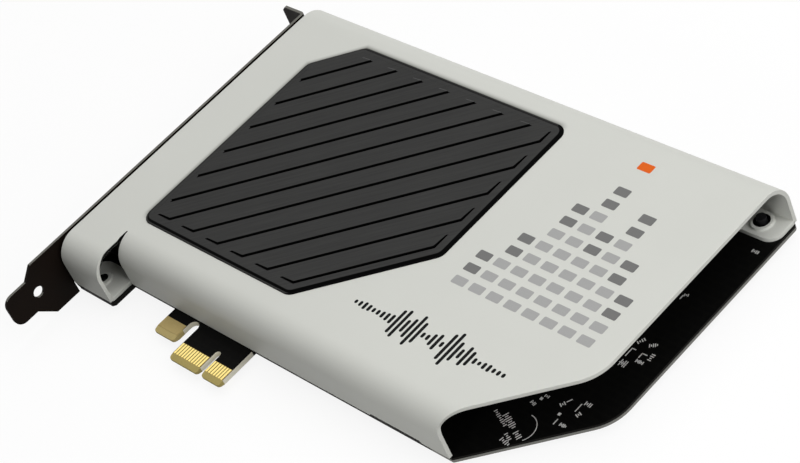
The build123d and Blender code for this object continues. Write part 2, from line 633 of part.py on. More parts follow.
def heat_tab(at):
    """The soldered tab that carries a regulator's heat into the board, at the side of its body."""
    tab_x = at[0] + (REGULATOR_SIZE[0] + HEAT_TAB_L) / 2
    return chip((tab_x, at[1]), (HEAT_TAB_L, REGULATOR_SIZE[1], HEAT_TAB_T))


def chip_column(x, y, count):
    return group(chip((x, y + CHIP_PITCH * i), CHIP_SIZE) for i in range(count))


def solder_joint(at):
    """A peak of solder round a trimmed lead, on the underside: a pyramid of flat sides."""
    rim = [(Pos(*at, BOARD_UNDER) * spot).position for spot in PolarLocations(SOLDER_R, SOLDER_SIDES)]
    tip = Vector(*at, BOARD_UNDER - SOLDER_H)
    sides = [Face(Wire.make_polygon([rim[i - 1], rim[i], tip])) for i in range(SOLDER_SIDES)]
    return Solid(Shell([Face(Wire.make_polygon(rim)), *sides]))


def solder_joints():
    half = JACK_PIN_SPREAD / 2
    jack_pins = [(JACK_PIN_X, -half), (JACK_PIN_X, half), (JACK_L - SOLDER_R, 0)]
    spots = [(x, y + side) for y in JACK_YS for x, side in jack_pins]
    spots += [(x, y + side * RESERVOIR_R / 2) for x, y in RESERVOIR_SPOTS for side in (-1, 1)]
    return group(solder_joint(spot) for spot in spots)


PARTS = {
    "circuit_board": circuit_board(),
    "edge_contacts_front": edge_contacts(0),
    "edge_contacts_rear": edge_contacts(BOARD_UNDER - CONTACT_T),
    "retention_plating": retention_plating(),
    "cover_shell": cover_shell(),
    "cover_screws": group(cover_screw(spot) for spot in SCREW_SPOTS),
    "louvre_panel": louvre_panel(),
    "slot_bracket": slot_bracket(),
    **{f"audio_jack_{i + 1}": audio_jack(y) for i, y in enumerate(JACK_YS)},
    "optical_socket": optical_socket(),
    "audio_processor": chip(PROCESSOR_AT, PROCESSOR_SIZE),
    "processor_leads": processor_leads(),
    "bus_bridge": chip(BRIDGE_AT, BRIDGE_SIZE),
    "converter_chip": chip(CONVERTER_AT, CONVERTER_SIZE),
    "op_amps": group(chip(spot, OPAMP_SIZE) for spot in OPAMP_SPOTS),
    "crystal_oscillators": group(chip(spot, CRYSTAL_SIZE) for spot in crystal_spots()),
    "reservoir_capacitors": group(can(spot) for spot in RESERVOIR_SPOTS),
    "film_capacitors": group(chip(spot, FILM_SIZE) for spot in FILM_SPOTS),
    "output_relays": group(chip(spot, RELAY_SIZE) for spot in relay_spots()),
    "power_inductors": group(inductor(spot) for spot in INDUCTOR_SPOTS),
    "voltage_regulators": group(chip(spot, REGULATOR_SIZE) for spot in REGULATOR_SPOTS),
    "regulator_tabs": group(heat_tab(spot) for spot in REGULATOR_SPOTS),
    "chip_resistors": chip_column(RESISTOR_X, JACK_YS[0], RESISTOR_COUNT),
    "chip_capacitors": chip_column(PROCESSOR_AT[0] + CHIP_STEP, PROCESSOR_Y, CHIP_COUNT),
    "solder_joints": solder_joints(),
}

os.makedirs("parts", exist_ok=True)
for name, shape in PARTS.items():
    export_step(TO_PART * shape, f"parts/{name}.step")
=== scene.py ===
# %% [markdown]
# # A sound card for an expansion slot
# The packed solids come in first and stay where they are. Around them this lesson makes the finer
# skins: the moulded cover, the louvre panel on it, the folded bracket, the print and the legend on
# the board. Then every surface gets a finish worked out from its own place on the card.

# %% Load the frame
import bmesh
import bpy
import numpy as np
from mathutils import Matrix, Vector


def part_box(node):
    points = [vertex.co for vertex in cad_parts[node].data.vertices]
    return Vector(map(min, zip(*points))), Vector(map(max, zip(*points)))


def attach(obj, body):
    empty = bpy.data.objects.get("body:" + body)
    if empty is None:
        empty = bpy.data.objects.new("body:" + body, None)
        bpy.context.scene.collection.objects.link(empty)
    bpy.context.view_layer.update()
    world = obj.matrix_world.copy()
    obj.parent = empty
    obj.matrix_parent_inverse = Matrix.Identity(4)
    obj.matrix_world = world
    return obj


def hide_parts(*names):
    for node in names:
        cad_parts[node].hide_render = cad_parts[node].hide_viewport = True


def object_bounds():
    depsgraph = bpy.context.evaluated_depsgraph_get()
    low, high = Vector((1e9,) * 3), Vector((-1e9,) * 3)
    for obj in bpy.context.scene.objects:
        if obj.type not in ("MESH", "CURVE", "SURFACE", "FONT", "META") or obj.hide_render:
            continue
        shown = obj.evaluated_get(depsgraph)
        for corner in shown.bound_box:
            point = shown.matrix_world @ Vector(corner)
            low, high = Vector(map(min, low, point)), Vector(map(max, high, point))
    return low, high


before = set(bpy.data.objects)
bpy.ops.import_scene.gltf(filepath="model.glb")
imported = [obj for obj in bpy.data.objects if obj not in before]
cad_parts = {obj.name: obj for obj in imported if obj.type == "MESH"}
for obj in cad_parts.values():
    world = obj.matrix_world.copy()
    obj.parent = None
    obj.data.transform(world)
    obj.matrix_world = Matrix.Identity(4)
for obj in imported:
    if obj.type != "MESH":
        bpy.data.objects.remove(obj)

CAD_BOX = [list(corner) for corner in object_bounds()]
print("nodes:", len(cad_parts), "box:", CAD_BOX)

# %% [markdown]
# ## Card coordinates
# A card is easiest to draw from the corner where its bracket and its slot meet: x runs along the
# board from the bracket's inner face, y runs back from the front wall of the cover, and z stands on
# the board's component face. Three boxes of the frame say where that corner is, so the skins land
# on the solids without any fitting.

# %% Card coordinates
MM = 0.001
BOARD_START_X = 1.4
COVER_BACK_Y = 98.4
ORIGIN = np.array([
    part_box("circuit_board")[0].x - BOARD_START_X * MM,
    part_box("cover_shell")[1].y - COVER_BACK_Y * MM,
    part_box("circuit_board")[1].z,
])


def on_card(x, y, z):
    """Card coordinates in millimetres, of any matching shapes, as points of the part in metres."""
    return np.stack(np.broadcast_arrays(x, y, z), -1).astype(float) * MM + ORIGIN


print("card corner at", ORIGIN.round(5))

# %% [markdown]
# ## Surfaces as grids
# Each skin is a grid of points: rows run one way over the surface and columns the other. The quads
# only depend on the grid's size, so one helper numbers them for every skin. A closed loop wraps
# round by taking the next number modulo the count, and a tube adds a lid at each end.

# %% Grid helpers
def grid_quads(rows, columns, wrap_rows=False, wrap_columns=False):
    """Quads of a grid numbered row by row, with the face on the side of columns x rows."""
    r = np.arange(rows if wrap_rows else rows - 1)
    c = np.arange(columns if wrap_columns else columns - 1)
    r, c = np.meshgrid(r, c, indexing="ij")
    r1, c1 = (r + 1) % rows, (c + 1) % columns
    corners = [r * columns + c, r * columns + c1, r1 * columns + c1, r1 * columns + c]
    return np.stack(corners, -1).reshape(-1, 4)


def surface(points, wrap_rows=False, wrap_columns=False):
    """A grid of points of shape (rows, columns, 3) with its quads."""
    rows, columns = points.shape[:2]
    return points.reshape(-1, 3), grid_quads(rows, columns, wrap_rows, wrap_columns).tolist()


def tube(loops):
    """A wall through closed loops of shape (loops, points, 3), with a lid on the first and last."""
    points, quads = surface(loops, wrap_columns=True)
    numbers = np.arange(len(points)).reshape(loops.shape[:2])
    return points, quads + [numbers[0, ::-1].tolist(), numbers[-1].tolist()]


def slab(x, y, z0, z1):
    """A flat plate on the card: a tube through its outline at two heights."""
    return tube(np.stack([on_card(x, y, z0), on_card(x, y, z1)]))


def turned(reach, heights, spot):
    """A closed profile carried round an upright axis: reach (turns, steps) and a height a step."""
    turns = np.linspace(0, 2 * np.pi, len(reach), endpoint=False)[:, None]
    x, y = spot[0] + reach * np.cos(turns), spot[1] + reach * np.sin(turns)
    return surface(on_card(x, y, heights), wrap_rows=True, wrap_columns=True)


def join(*surfaces):
    """Several surfaces as one list of points and one list of faces."""
    starts = np.cumsum([0] + [len(points) for points, _ in surfaces])
    faces = [
        [i + start for i in face]
        for (_, quads), start in zip(surfaces, starts)
        for face in quads
    ]
    return np.concatenate([points for points, _ in surfaces]), faces


print("a grid of 3 x 4 points has", len(grid_quads(3, 4)), "quads")

# %% [markdown]
# ## From grid to piece
# A piece is a mesh at the origin with its place in its points. Points that meet are merged, so that
# neighbouring grids become one skin. Closed shells are then turned to face outwards. A skin that
# still needs its thickness keeps the side that its grid gave it.

# %% Piece helper
MERGE = 1e-6
SHARP_DEG = 38
RIM_DEG = 50
RIM_STEPS = 2


def make_piece(name, shape, closed=True, stands_for=()):
    """A smooth-shaded mesh object, sharp at creases, that rides with the card."""
    points, faces = shape
    mesh = bpy.data.meshes.new(name)
    mesh.from_pydata(points.tolist(), [], faces)
    work = bmesh.new()
    work.from_mesh(mesh)
    bmesh.ops.remove_doubles(work, verts=work.verts, dist=MERGE)
    if closed:
        bmesh.ops.recalc_face_normals(work, faces=work.faces)
    work.to_mesh(mesh)
    work.free()
    mesh.shade_smooth()
    mesh.set_sharp_from_angle(angle=np.radians(SHARP_DEG))
    piece = bpy.data.objects.new(name, mesh)
    bpy.context.scene.collection.objects.link(piece)
    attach(piece, "root")
    if stands_for:
        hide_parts(*stands_for)
    print(name, "points", len(mesh.vertices), "faces", len(mesh.polygons))
    return piece


def round_rims(piece, width):
    """Rounds the creases of a piece by a width in millimetres."""
    rim = piece.modifiers.new("rims", "BEVEL")
    rim.width = width * MM
    rim.segments = RIM_STEPS
    rim.limit_method = "ANGLE"
    rim.angle_limit = np.radians(RIM_DEG)
    rim.harden_normals = True


print("creases over", SHARP_DEG, "degrees stay sharp")

# %% [markdown]
# ## The cover
# The cover is one moulding bent over the board: a front wall, a shoulder of 7 mm, the flat top, and
# the same again at the back. Its feet carry it, so a hairline shows under its walls. Near the
# bracket it steps forward as a band, parted from the rest by a slit. Its far end is cut along the
# board's slanted corner. Carried along the card, the bent section gives a grid, and two parameters
# describe it all: the way round the section and the place along the card.

# %% The end of the cover
WALL = 1.15
BEND_R = 7.0
END_X = 168.9
CUT_X = 139.486
END_R = 12.5
WALL_END_X = 141.2


def end_x(y):
    """Where the cover ends at y: square at the front wall, a 45 degree cut, an arc, then straight.

    On the front shoulder the wall's inner edge lies further back than the outer one, so the cut
    starts from the inner edge there: y + WALL * (1 - y / BEND_R)."""
    corner_y = END_X - CUT_X
    tangent = END_R * np.tan(np.pi / 8)
    arc_top, arc_low = corner_y + tangent, corner_y - tangent * np.sqrt(0.5)
    along = np.clip(y, arc_low, arc_top)
    arc = END_X - END_R + np.sqrt(END_R**2 - (arc_top - along) ** 2)
    inner_y = y + WALL * np.maximum(1 - y / BEND_R, 0)
    cut = np.maximum(CUT_X + inner_y, WALL_END_X)
    return np.where(y > arc_top, END_X, np.where(y < arc_low, cut, arc))


print("the cover ends from x", end_x(np.array([0.0, COVER_BACK_Y])).round(2))

# %% [markdown]
# A grid can bend, open or end only along its own lines. So rows lie in the bends, columns at the
# notch, and both at the clips' holes, and a few more lines keep the quads from growing long. Where
# the cover ends depends on y alone, so the last columns stretch to meet the end.

# %% Rows and columns of the cover
BAND_X = (1.0, 17.2)
MAIN_START_X = 17.6
SLIT_Y = 6.4
NOTCH_X = (113.5, 131.5)
NOTCH_H = 0.7
CLIP_HALF = 1.3
CLIP_XS = (35.95, 89.1)
CLIP_YS = (29.3, 70.8)
ARC_SPAN, ARC_ROWS = (25.7, 34.6), 14
MORE_TOP_YS = (15.0, 50.0)
MORE_BAND_XS = (6.0, 12.0)
MORE_MAIN_X = 60.0
LAST_EVEN_X = 138.0


def hole_edges(centres):
    """The two edges of each clip hole along one axis."""
    return [c + side * CLIP_HALF for c in centres for side in (-1, 1)]


ARC_YS = np.linspace(*ARC_SPAN, ARC_ROWS)
BEND_YS = (BEND_R, COVER_BACK_Y - BEND_R)
TOP_YS = np.unique([SLIT_Y, *BEND_YS, *hole_edges(CLIP_YS), *ARC_YS, *MORE_TOP_YS])
BAND_XS = np.array([BAND_X[0], *MORE_BAND_XS, BAND_X[1]])
NOTCH_XS = [x + side for x in NOTCH_X for side in (-NOTCH_H / 2, NOTCH_H / 2)]
MAIN_XS = np.unique([MAIN_START_X, *hole_edges(CLIP_XS), MORE_MAIN_X, *NOTCH_XS, LAST_EVEN_X])
print("cover rows on top:", len(TOP_YS), "columns:", len(BAND_XS) + len(MAIN_XS))

# %% Sections of the cover
TOP = 14.8
WALL_GAP = 0.25
WALL_ROWS = 3
BEND_STEPS = 16
STRETCHED = (0.5, 1.0)


def shoulder(front_y, stop_y):
    """Section of a front wall and its bend, from the foot up to a place on the top, as (y, z)."""
    bend_z = TOP - BEND_R
    wall_z = np.linspace(WALL_GAP, bend_z, WALL_ROWS + 1)[:-1]
    last = np.arccos(np.clip((stop_y - front_y - BEND_R) / BEND_R, -1, 0))
    turn = np.linspace(np.pi, last, BEND_STEPS)
    bend_y = front_y + BEND_R + BEND_R * np.cos(turn)
    y = np.concatenate([np.full(WALL_ROWS, front_y), bend_y])
    return y, np.concatenate([wall_z, bend_z + BEND_R * np.sin(turn)])


def back_section():
    """Section from the end of the slit: the flat top, then a front shoulder mirrored, as (y, z)."""
    y, z = shoulder(0, BEND_R)
    y = np.append(TOP_YS, COVER_BACK_Y - y[-2::-1])
    return y, np.append(np.full(len(TOP_YS), TOP), z[-2::-1])


def main_columns(y):
    """Places along the card for each row: even columns, then two that stretch to the end."""
    reaching = LAST_EVEN_X + np.outer(end_x(y) - LAST_EVEN_X, STRETCHED)
    return np.concatenate([np.tile(MAIN_XS, (len(y), 1)), reaching], 1)


print("points round the section:", len(shoulder(0, SLIT_Y)[0]) + len(back_section()[0]))

# %% [markdown]
# The skin is drawn as the outer face only, in three grids that meet at the end of the slit: the
# front of the band, the front of the main part, and the top with the back. Solidify then gives the
# wall its thickness inwards, and a bevel rounds the rims as a mould does.

# %% The cover's skin
BAND_FRONT_Y = -7.75
RIM_R = 0.2


def band_skin():
    """The band's front: its own section carried over the band's columns."""
    y, z = shoulder(BAND_FRONT_Y, 0)
    y, z = np.append(y, SLIT_Y), np.append(z, TOP)
    return surface(on_card(BAND_XS[None, :], y[:, None], z[:, None]))


def main_skin():
    """The front of the main part, with a shallow notch along the foot of its wall."""
    y, z = shoulder(0, SLIT_Y)
    x = main_columns(y)
    rise = np.interp(x, NOTCH_XS, [0, NOTCH_H, NOTCH_H, 0])
    z = z[:, None] + np.where(np.arange(len(z))[:, None] == 0, rise, 0)
    return surface(on_card(x, y[:, None], z))


def top_skin():
    """The top and the back, over the band and the main part, open where the clips pass through."""
    y, z = back_section()
    x = np.concatenate([np.tile(BAND_XS, (len(y), 1)), main_columns(y)], 1)
    dip = BEND_R - np.sqrt(BEND_R**2 - (BEND_R - np.minimum(y, BEND_R)) ** 2)
    z = z[:, None] - np.where(x >= MAIN_START_X, dip[:, None], 0)
    points, quads = surface(on_card(x, y[:, None], z))
    middle = (points[np.array(quads)].mean(1) - ORIGIN) / MM
    off_x = np.abs(middle[:, :1] - CLIP_XS).min(1)
    off_y = np.abs(middle[:, 1:2] - CLIP_YS).min(1)
    keep = (off_x > CLIP_HALF) | (off_y > CLIP_HALF)
    return points, np.array(quads)[keep].tolist()


skin = join(band_skin(), main_skin(), top_skin())
cover = make_piece("cover_body", skin, closed=False, stands_for=["cover_shell"])
wall = cover.modifiers.new("wall", "SOLIDIFY")
wall.thickness = WALL * MM
wall.offset = -1
wall.use_even_offset = True
round_rims(cover, RIM_R)

# %% [markdown]
# ## The cover's feet
# Three feet inside the cover stand on the board, and a screw from below holds each. A foot is a pad
# with a raised boss round its hole. Seen from the hole, the pad reaches a different distance in
# each direction, so the foot is a profile carried round the hole, stretched to that reach. A
# straight edge at distance d in direction a limits the reach to d / cos(turn - a), and a rounded
# corner is a few such edges, all tangent to its arc.

# %% A foot's profile
FOOT_T = 1.2
BOSS_H = 1.9
SCREW_HOLE_R = 1.5
EDGE_R, EDGE_MID, PAD_MID = 0.3, 0.08, 0.06
FILLET = (0.05, 0.2, 0.45)
INSIDE_PAD = 0.32
FOOT_TURNS = 120
TURNS = np.linspace(0, 2 * np.pi, FOOT_TURNS, endpoint=False)
LEAST_FACING = 1e-3


def reach_to(edges):
    """Reach all round to the nearest of some straight edges: distance / cos(turn - angle)."""
    angles, distances = np.array(edges).T
    facing = np.cos(TURNS[:, None] - angles)
    reach = distances / np.maximum(facing, LEAST_FACING)
    return np.where(facing > LEAST_FACING, reach, np.inf).min(1)


def foot(spot, reach, boss_r, recess=None):
    """Hole wall, boss, pad and outline as one closed profile, kept within the reach all round."""
    bore = [(SCREW_HOLE_R, 0), (SCREW_HOLE_R, BOSS_H)]
    if recess:
        wide, floor_z = recess[0], BOSS_H - recess[1]
        bore = [(SCREW_HOLE_R, 0), (SCREW_HOLE_R, floor_z), (wide, floor_z), (wide, BOSS_H)]
    near, middle, far = FILLET
    boss = [(boss_r - EDGE_R, BOSS_H), (boss_r - EDGE_MID, BOSS_H - EDGE_MID),
            (boss_r, BOSS_H - EDGE_R), (boss_r + near, FOOT_T + middle),
            (boss_r + middle, FOOT_T + near), (boss_r + far, FOOT_T)]
    r, z = np.array(bore + boss).T
    pad = reach[:, None] - np.array([EDGE_R, EDGE_MID, 0.0, 0.0])
    rings = np.concatenate([np.minimum(r, reach[:, None] - INSIDE_PAD), pad], 1)
    heights = np.concatenate([z, [FOOT_T, FOOT_T - PAD_MID, FOOT_T - EDGE_R, 0]])
    return turned(rings, heights, spot)


print("open reach towards one edge:", np.isinf(reach_to([(0.0, 1.0)])).sum(), "turns without end")

# %% Feet
FOOT_REACH = 5.85
FOOT_R = (6.0, 2.6)
INTO_WALL = 0.4
BAND_BOSS_R = 2.6
END_BOSS_R = 3.0
END_RECESS = (2.2, 0.8)
LUG_SPOT = (9.3, -3.2)
BACK_SPOT = (9.3, 87.0)
END_SPOT = (162.2, 93.6)
END_FOOT_X, END_FOOT_Y, END_FOOT_R = 153.0, 89.4, 3.8
CORNER_EDGES = 9


def round_corner(x, y, radius, start, stop):
    """Edges tangent to a corner's arc: its centre as seen from the hole, then two directions."""
    turns = np.linspace(start, stop, CORNER_EDGES)
    return [*zip(turns, x * np.cos(turns) + y * np.sin(turns) + radius)]


def band_foot(spot, wall_y):
    """A pad across the band, from its wall to a free edge with two rounded corners."""
    side = np.sign(wall_y - spot[1])
    quarter = side * np.pi / 2
    edges = [(quarter, abs(wall_y - spot[1]) + INTO_WALL)]
    for limit_x, inward, radius, straight in zip(BAND_X, (1, -1), FOOT_R, (-2 * quarter, 0)):
        centre = (limit_x - spot[0] + inward * radius, side * (radius - FOOT_REACH))
        edges += round_corner(*centre, radius, -quarter, straight)
    return reach_to(edges)


def end_reach():
    """The pad in the open far corner, with one rounded free corner."""
    x, y = np.array([END_X - END_FOOT_R, END_FOOT_Y + END_FOOT_R]) - END_SPOT
    back = COVER_BACK_Y - WALL + INTO_WALL - END_SPOT[1]
    edges = round_corner(x, y, END_FOOT_R, -np.pi / 2, 0)
    return reach_to(edges + [(np.pi / 2, back), (np.pi, END_SPOT[0] - END_FOOT_X)])


feet = join(
    foot(LUG_SPOT, band_foot(LUG_SPOT, BAND_FRONT_Y + WALL), BAND_BOSS_R),
    foot(BACK_SPOT, band_foot(BACK_SPOT, COVER_BACK_Y - WALL), BAND_BOSS_R),
    foot(END_SPOT, end_reach(), END_BOSS_R, END_RECESS),
)
make_piece("cover_feet", feet)

# %% [markdown]
# ## The louvre panel
# A dark panel lies on the cover. Its outline is a rectangle with two corners cut at 45 degrees and
# every corner rounded, and its slats run along the cuts. The border is a stepped profile swept
# round the outline: as each corner is a core point plus a radius in the direction of the edge, an
# inset only makes the radius shorter.

# %% The panel's outline
PANEL_X = (17.95, 107.1)
PANEL_Y = (11.3, 88.8)
BACK_CUT = 12.05
FRONT_CUT = 28.6
PANEL_R = 3.5
CORNER_STEPS = 10
CORNER_DEG = ((-180, -90), (-90, -45), (-45, 0), (0, 90), (90, 135), (135, 180))
ROOT_2 = np.sqrt(2)


def panel_core(inset):
    """The six corners of the outline moved in by an inset, anticlockwise from the front left."""
    (x0, x1), (y0, y1) = np.array([PANEL_X, PANEL_Y]) + [inset, -inset]
    back, front = np.array([BACK_CUT, FRONT_CUT]) - inset * (2 - ROOT_2)
    return np.array([(x0, y0), (x1 - front, y0), (x1, y0 + front),
                     (x1, y1), (x0 + back, y1), (x0, y1 - back)])


def panel_loop(inset):
    """Points round the outline at an inset: core corner + (radius - inset) towards each edge."""
    turns = np.radians(CORNER_DEG)
    fan = np.linspace(turns[:, 0], turns[:, 1], CORNER_STEPS, axis=1)
    rays = np.stack([np.cos(fan), np.sin(fan)], -1)
    return (panel_core(PANEL_R)[:, None] + (PANEL_R - inset) * rays).reshape(-1, 2)


print("points round the panel:", len(panel_loop(0)))

# %% The panel's border
RIM_W = 0.5
RIM_TOP = 15.05
SLOPE_W = 0.6
PLATE_TOP = 15.55
BORDER_W = 2.2
RIM_EDGE = 0.06
SLOPE_FOOT = (0.04, 0.05)
SLOPE_HEAD = ((-0.12, -0.09), (0.0, -0.03), (0.15, 0.0))


def border():
    """The stepped border: one closed profile of (inset, height), swept round the outline."""
    slope_x, slope_z = SLOPE_FOOT
    rim = [(0, TOP), (0, RIM_TOP - RIM_EDGE), (RIM_EDGE, RIM_TOP), (RIM_W, RIM_TOP)]
    slope = [(RIM_W + slope_x, RIM_TOP + slope_z)]
    slope += [(RIM_W + SLOPE_W + inset, PLATE_TOP + rise) for inset, rise in SLOPE_HEAD]
    profile = rim + slope + [(BORDER_W, PLATE_TOP), (BORDER_W, TOP)]
    x, y = np.stack([panel_loop(inset) for inset, _ in profile], 1).transpose(2, 0, 1)
    heights = np.array([z for _, z in profile])
    return surface(on_card(x, y, heights), wrap_rows=True, wrap_columns=True)


print("points of the border:", len(border()[0]))

# %% [markdown]
# Inside the border the plate is a grid in slat coordinates: p along the slats and q across them.
# Its section over q climbs to each lip, drops into the slit and comes back to the plate.

# %% Slat coordinates
SLAT_COUNT = 12
SLAT_PITCH = 7.15
SLAT_FIRST = 6.95
SLAT_W = 3.1
SLAT_RISE = 0.4
SLIT_W = 0.55
SLIT_DEPTH = 0.45
LIP_R = 0.1
LIP_MID = 0.3 * LIP_R


def slat_section():
    """Rows across the slats from the back cut: (q, height over the plate, share of the return)."""
    lip = [(-SLAT_W, 0, 0), (-SLAT_W, 0, 1), (-LIP_R, SLAT_RISE, 1),
           (-LIP_MID, SLAT_RISE - LIP_MID, 1), (0, SLAT_RISE - LIP_R, 1),
           (0, -SLIT_DEPTH, 1), (SLIT_W, -SLIT_DEPTH, 1), (SLIT_W, 0, 0)]
    places = SLAT_FIRST + SLAT_PITCH * np.arange(SLAT_COUNT)
    rows = places[:, None, None] * [1, 0, 0] + np.array(lip)
    return rows.reshape(-1, 3).T


def to_slats(xy):
    """Plan points as (p, q): p along the slats, q across them from the middle of the back cut."""
    start = np.array([PANEL_X[0] + BACK_CUT / 2, PANEL_Y[1] - BACK_CUT / 2])
    dx, dy = (xy - start).T
    return (dx + dy) / ROOT_2, (dx - dy) / ROOT_2


def from_slats(p, q):
    """Plan x and y of a point given along and across the slats."""
    x = PANEL_X[0] + BACK_CUT / 2 + (p + q) / ROOT_2
    return x, PANEL_Y[1] - BACK_CUT / 2 + (p - q) / ROOT_2


print("rows over the slats:", slat_section().shape[1])

# %% [markdown]
# The plate ends just under the border, and the slats end at a window a little inside it. Both ends
# are worked out as a least and a greatest p for each q. At the front and at the right a slit turns
# along the window's edge, as on the real panel.

# %% Where the plate and its slats end
SLAT_EDGE = 3.75
TUCK = 0.02
SAME_Q = 1e-3
Q_DIGITS = 4
PLATE_P, PLATE_Q = to_slats(panel_loop(BORDER_W - TUCK))


def plate_sides(q):
    """The least and greatest p of the plate at each q, read off the border's inner loop."""
    span = [PLATE_Q.min(), PLATE_Q.max()]
    end_p = [PLATE_P[np.abs(PLATE_Q - end) < SAME_Q].mean() for end in span]
    middle = np.interp(PLATE_Q, span, end_p)
    sides = []
    for chain in (PLATE_P < middle, PLATE_P > middle):
        order = np.argsort(PLATE_Q[chain], kind="stable")
        sides.append(np.interp(q, PLATE_Q[chain][order], PLATE_P[chain][order]))
    return sides


def window_sides(q):
    """The least and greatest p of the slats at each q, and whether a slit turns there: at the front
    and at the right."""
    x0, x1 = PANEL_X[0] + SLAT_EDGE, PANEL_X[1] - SLAT_EDGE
    y0, y1 = PANEL_Y[0] + SLAT_EDGE, PANEL_Y[1] - SLAT_EDGE
    at_x, at_y = from_slats(0, q)
    left, front = (x0 - at_x) * ROOT_2, (y0 - at_y) * ROOT_2
    right, back = (x1 - at_x) * ROOT_2, (y1 - at_y) * ROOT_2
    return np.maximum(left, front), np.minimum(right, back), front > left, right < back


def with_loop_rows(q, *rows):
    """Adds a row at every corner of the border's inner loop, so that the plate follows it."""
    extra = np.unique(PLATE_Q.round(Q_DIGITS))
    order = np.argsort(np.concatenate([q, extra]), kind="stable")
    added = [extra] + [np.interp(extra, q, row) for row in rows]
    return [np.concatenate(pair)[order] for pair in zip((q, *rows), added)]


print("rows of the plate:", len(with_loop_rows(*slat_section())[0]))

# %% The slatted plate
PLATE_UNDER = 14.85
RETURN_W = 0.55


def louvre_plate():
    """The slatted plate: rows over q, columns over p, doubled where a slat or slit ends upright."""
    q, height, cut = with_loop_rows(*slat_section())
    edge_low, edge_high = plate_sides(q)
    low, high, front, right = window_sides(q)
    low, high = np.maximum(low, edge_low), np.minimum(high, edge_high)
    low, high = np.minimum(low, high), np.maximum(low, high)
    turn = RETURN_W * ROOT_2
    p = np.stack([edge_low, low - turn, low - turn, low, low, (low + high) / 2,
                  high, high, high + turn, high + turn, edge_high], 1)
    p = np.clip(p, edge_low[:, None], edge_high[:, None])
    flat = np.zeros(len(q))
    low_cut, high_cut = -SLIT_DEPTH * cut * front, -SLIT_DEPTH * cut * right
    lift = np.stack([flat, flat, low_cut, low_cut, height, height,
                     height, high_cut, high_cut, flat, flat], 1)
    edge = np.zeros(p.shape)
    edge[:, [0, -1]] = edge[[0, -1], :] = -TUCK
    x, y = from_slats(p, q[:, None])
    top = on_card(x, y, PLATE_TOP + lift + edge)
    return tube(np.concatenate([top, on_card(x, y, PLATE_UNDER)[:, ::-1]], 1))


print("points of the plate:", len(louvre_plate()[0]))

# %% [markdown]
# Four clips hold the panel. Each goes through a square hole in the cover and hooks under it, so its
# section is a leg with a barb on both sides, and a short lead-in lets it snap through.

# %% The panel's clips
CLIP_W = 2.4
CLIP_HOOK = 0.6
CLIP_HOOK_T = 0.7
CLIP_LEAD = 0.4


def clip(x, y):
    """A leg through the cover: its section, a barb with a tapered lead-in, carried along y."""
    half, under = CLIP_W / 2, TOP - WALL
    hook_z = under - CLIP_HOOK_T
    right = [(half, PLATE_UNDER), (half, under), (half + CLIP_HOOK, under),
             (half + CLIP_HOOK, hook_z), (half, hook_z - CLIP_LEAD)]
    across, z = np.array(right + [(-a, b) for a, b in right[::-1]]).T
    return tube(on_card(x + across, y + np.array([[-half], [half]]), z))


clips = [clip(x, y) for x in CLIP_XS for y in CLIP_YS]
louvre = join(border(), louvre_plate(), *clips)
make_piece("louvre_top", louvre, stands_for=["louvre_panel"])

# %% [markdown]
# ## The bracket
# The bracket is punched and folded steel, and its solid already has the right form. Only its dead
# sharp edges give it away, because a punched edge is always a little round and catches the light. A
# merged copy of the solid with a small bevel gives that edge.

# %% Bracket
SHEET_RIM = 0.1


def softened_copy(name, node, width):
    """A merged copy of a node's mesh with rounded creases."""
    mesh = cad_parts[node].data
    points = np.empty(len(mesh.vertices) * 3)
    mesh.vertices.foreach_get("co", points)
    faces = [list(face.vertices) for face in mesh.polygons]
    piece = make_piece(name, (points.reshape(-1, 3), faces), stands_for=[node])
    round_rims(piece, width)


softened_copy("bracket_sheet", "slot_bracket", SHEET_RIM)

# %% [markdown]
# ## Jack mouths
# Each jack's nose carries a plated ring round its mouth. A ring is a small closed profile turned
# about the jack's axis, which runs along the card.

# %% Jack rings
JACK_YS = [
    (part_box(f"audio_jack_{i}")[0].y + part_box(f"audio_jack_{i}")[1].y) / 2 for i in range(1, 6)
]
JACK_Z = 5.6
NOSE_TIP_X = -2.9
RING_LIP = ((1.82, 0.9), (1.82, 0.06), (1.9, -0.06), (2.2, -0.1), (2.6, -0.06), (2.66, 0.04))
RING_TURNS = 64


def jack_ring(y):
    """A plated lip: radius and place along the axis, carried round the jack's mouth."""
    r, along = np.array(RING_LIP).T
    turns = np.linspace(0, 2 * np.pi, RING_TURNS, endpoint=False)[:, None]
    card_y = (y - ORIGIN[1]) / MM
    points = on_card(NOSE_TIP_X + along, card_y + r * np.cos(turns), JACK_Z + r * np.sin(turns))
    return surface(points, wrap_rows=True, wrap_columns=True)


make_piece("jack_rings", join(*map(jack_ring, JACK_YS)))

# %% [markdown]
# ## Print on the cover
# The cover carries a plain printed design: a level meter of grey segments with one warm peak, and a
# dark sound wave near the front edge. Ink has a thickness, so every mark is a thin slab lying on
# the top, with its outline worked out from a centre, a length, a width and a corner radius.

# %% Print
INK_T = 0.02
METER_X = 117.0
METER_Y = 36.0
METER_PITCH = (6.0, 4.6)
SEGMENT = (4.4, 2.6, 0.4)
MARK_CORNER = 6


def rounded(x, y, length_x, length_y, radius):
    """Outline of a rounded rectangle: each corner's centre plus an arc of the radius."""
    turns = np.linspace(0, np.pi / 2, MARK_CORNER) + np.pi / 2 * np.arange(4)[:, None]
    signs = np.array([(1, 1), (-1, 1), (-1, -1), (1, -1)])
    half = np.array([length_x / 2 - radius, length_y / 2 - radius])
    centres = np.array([x, y]) + signs * half
    arcs = centres[:, None] + radius * np.stack([np.cos(turns), np.sin(turns)], -1)
    return arcs.reshape(-1, 2).T


def mark(x, y, length_x, length_y, radius, z):
    """One slab of ink on a surface at height z."""
    return slab(*rounded(x, y, length_x, length_y, radius), z, z + INK_T)


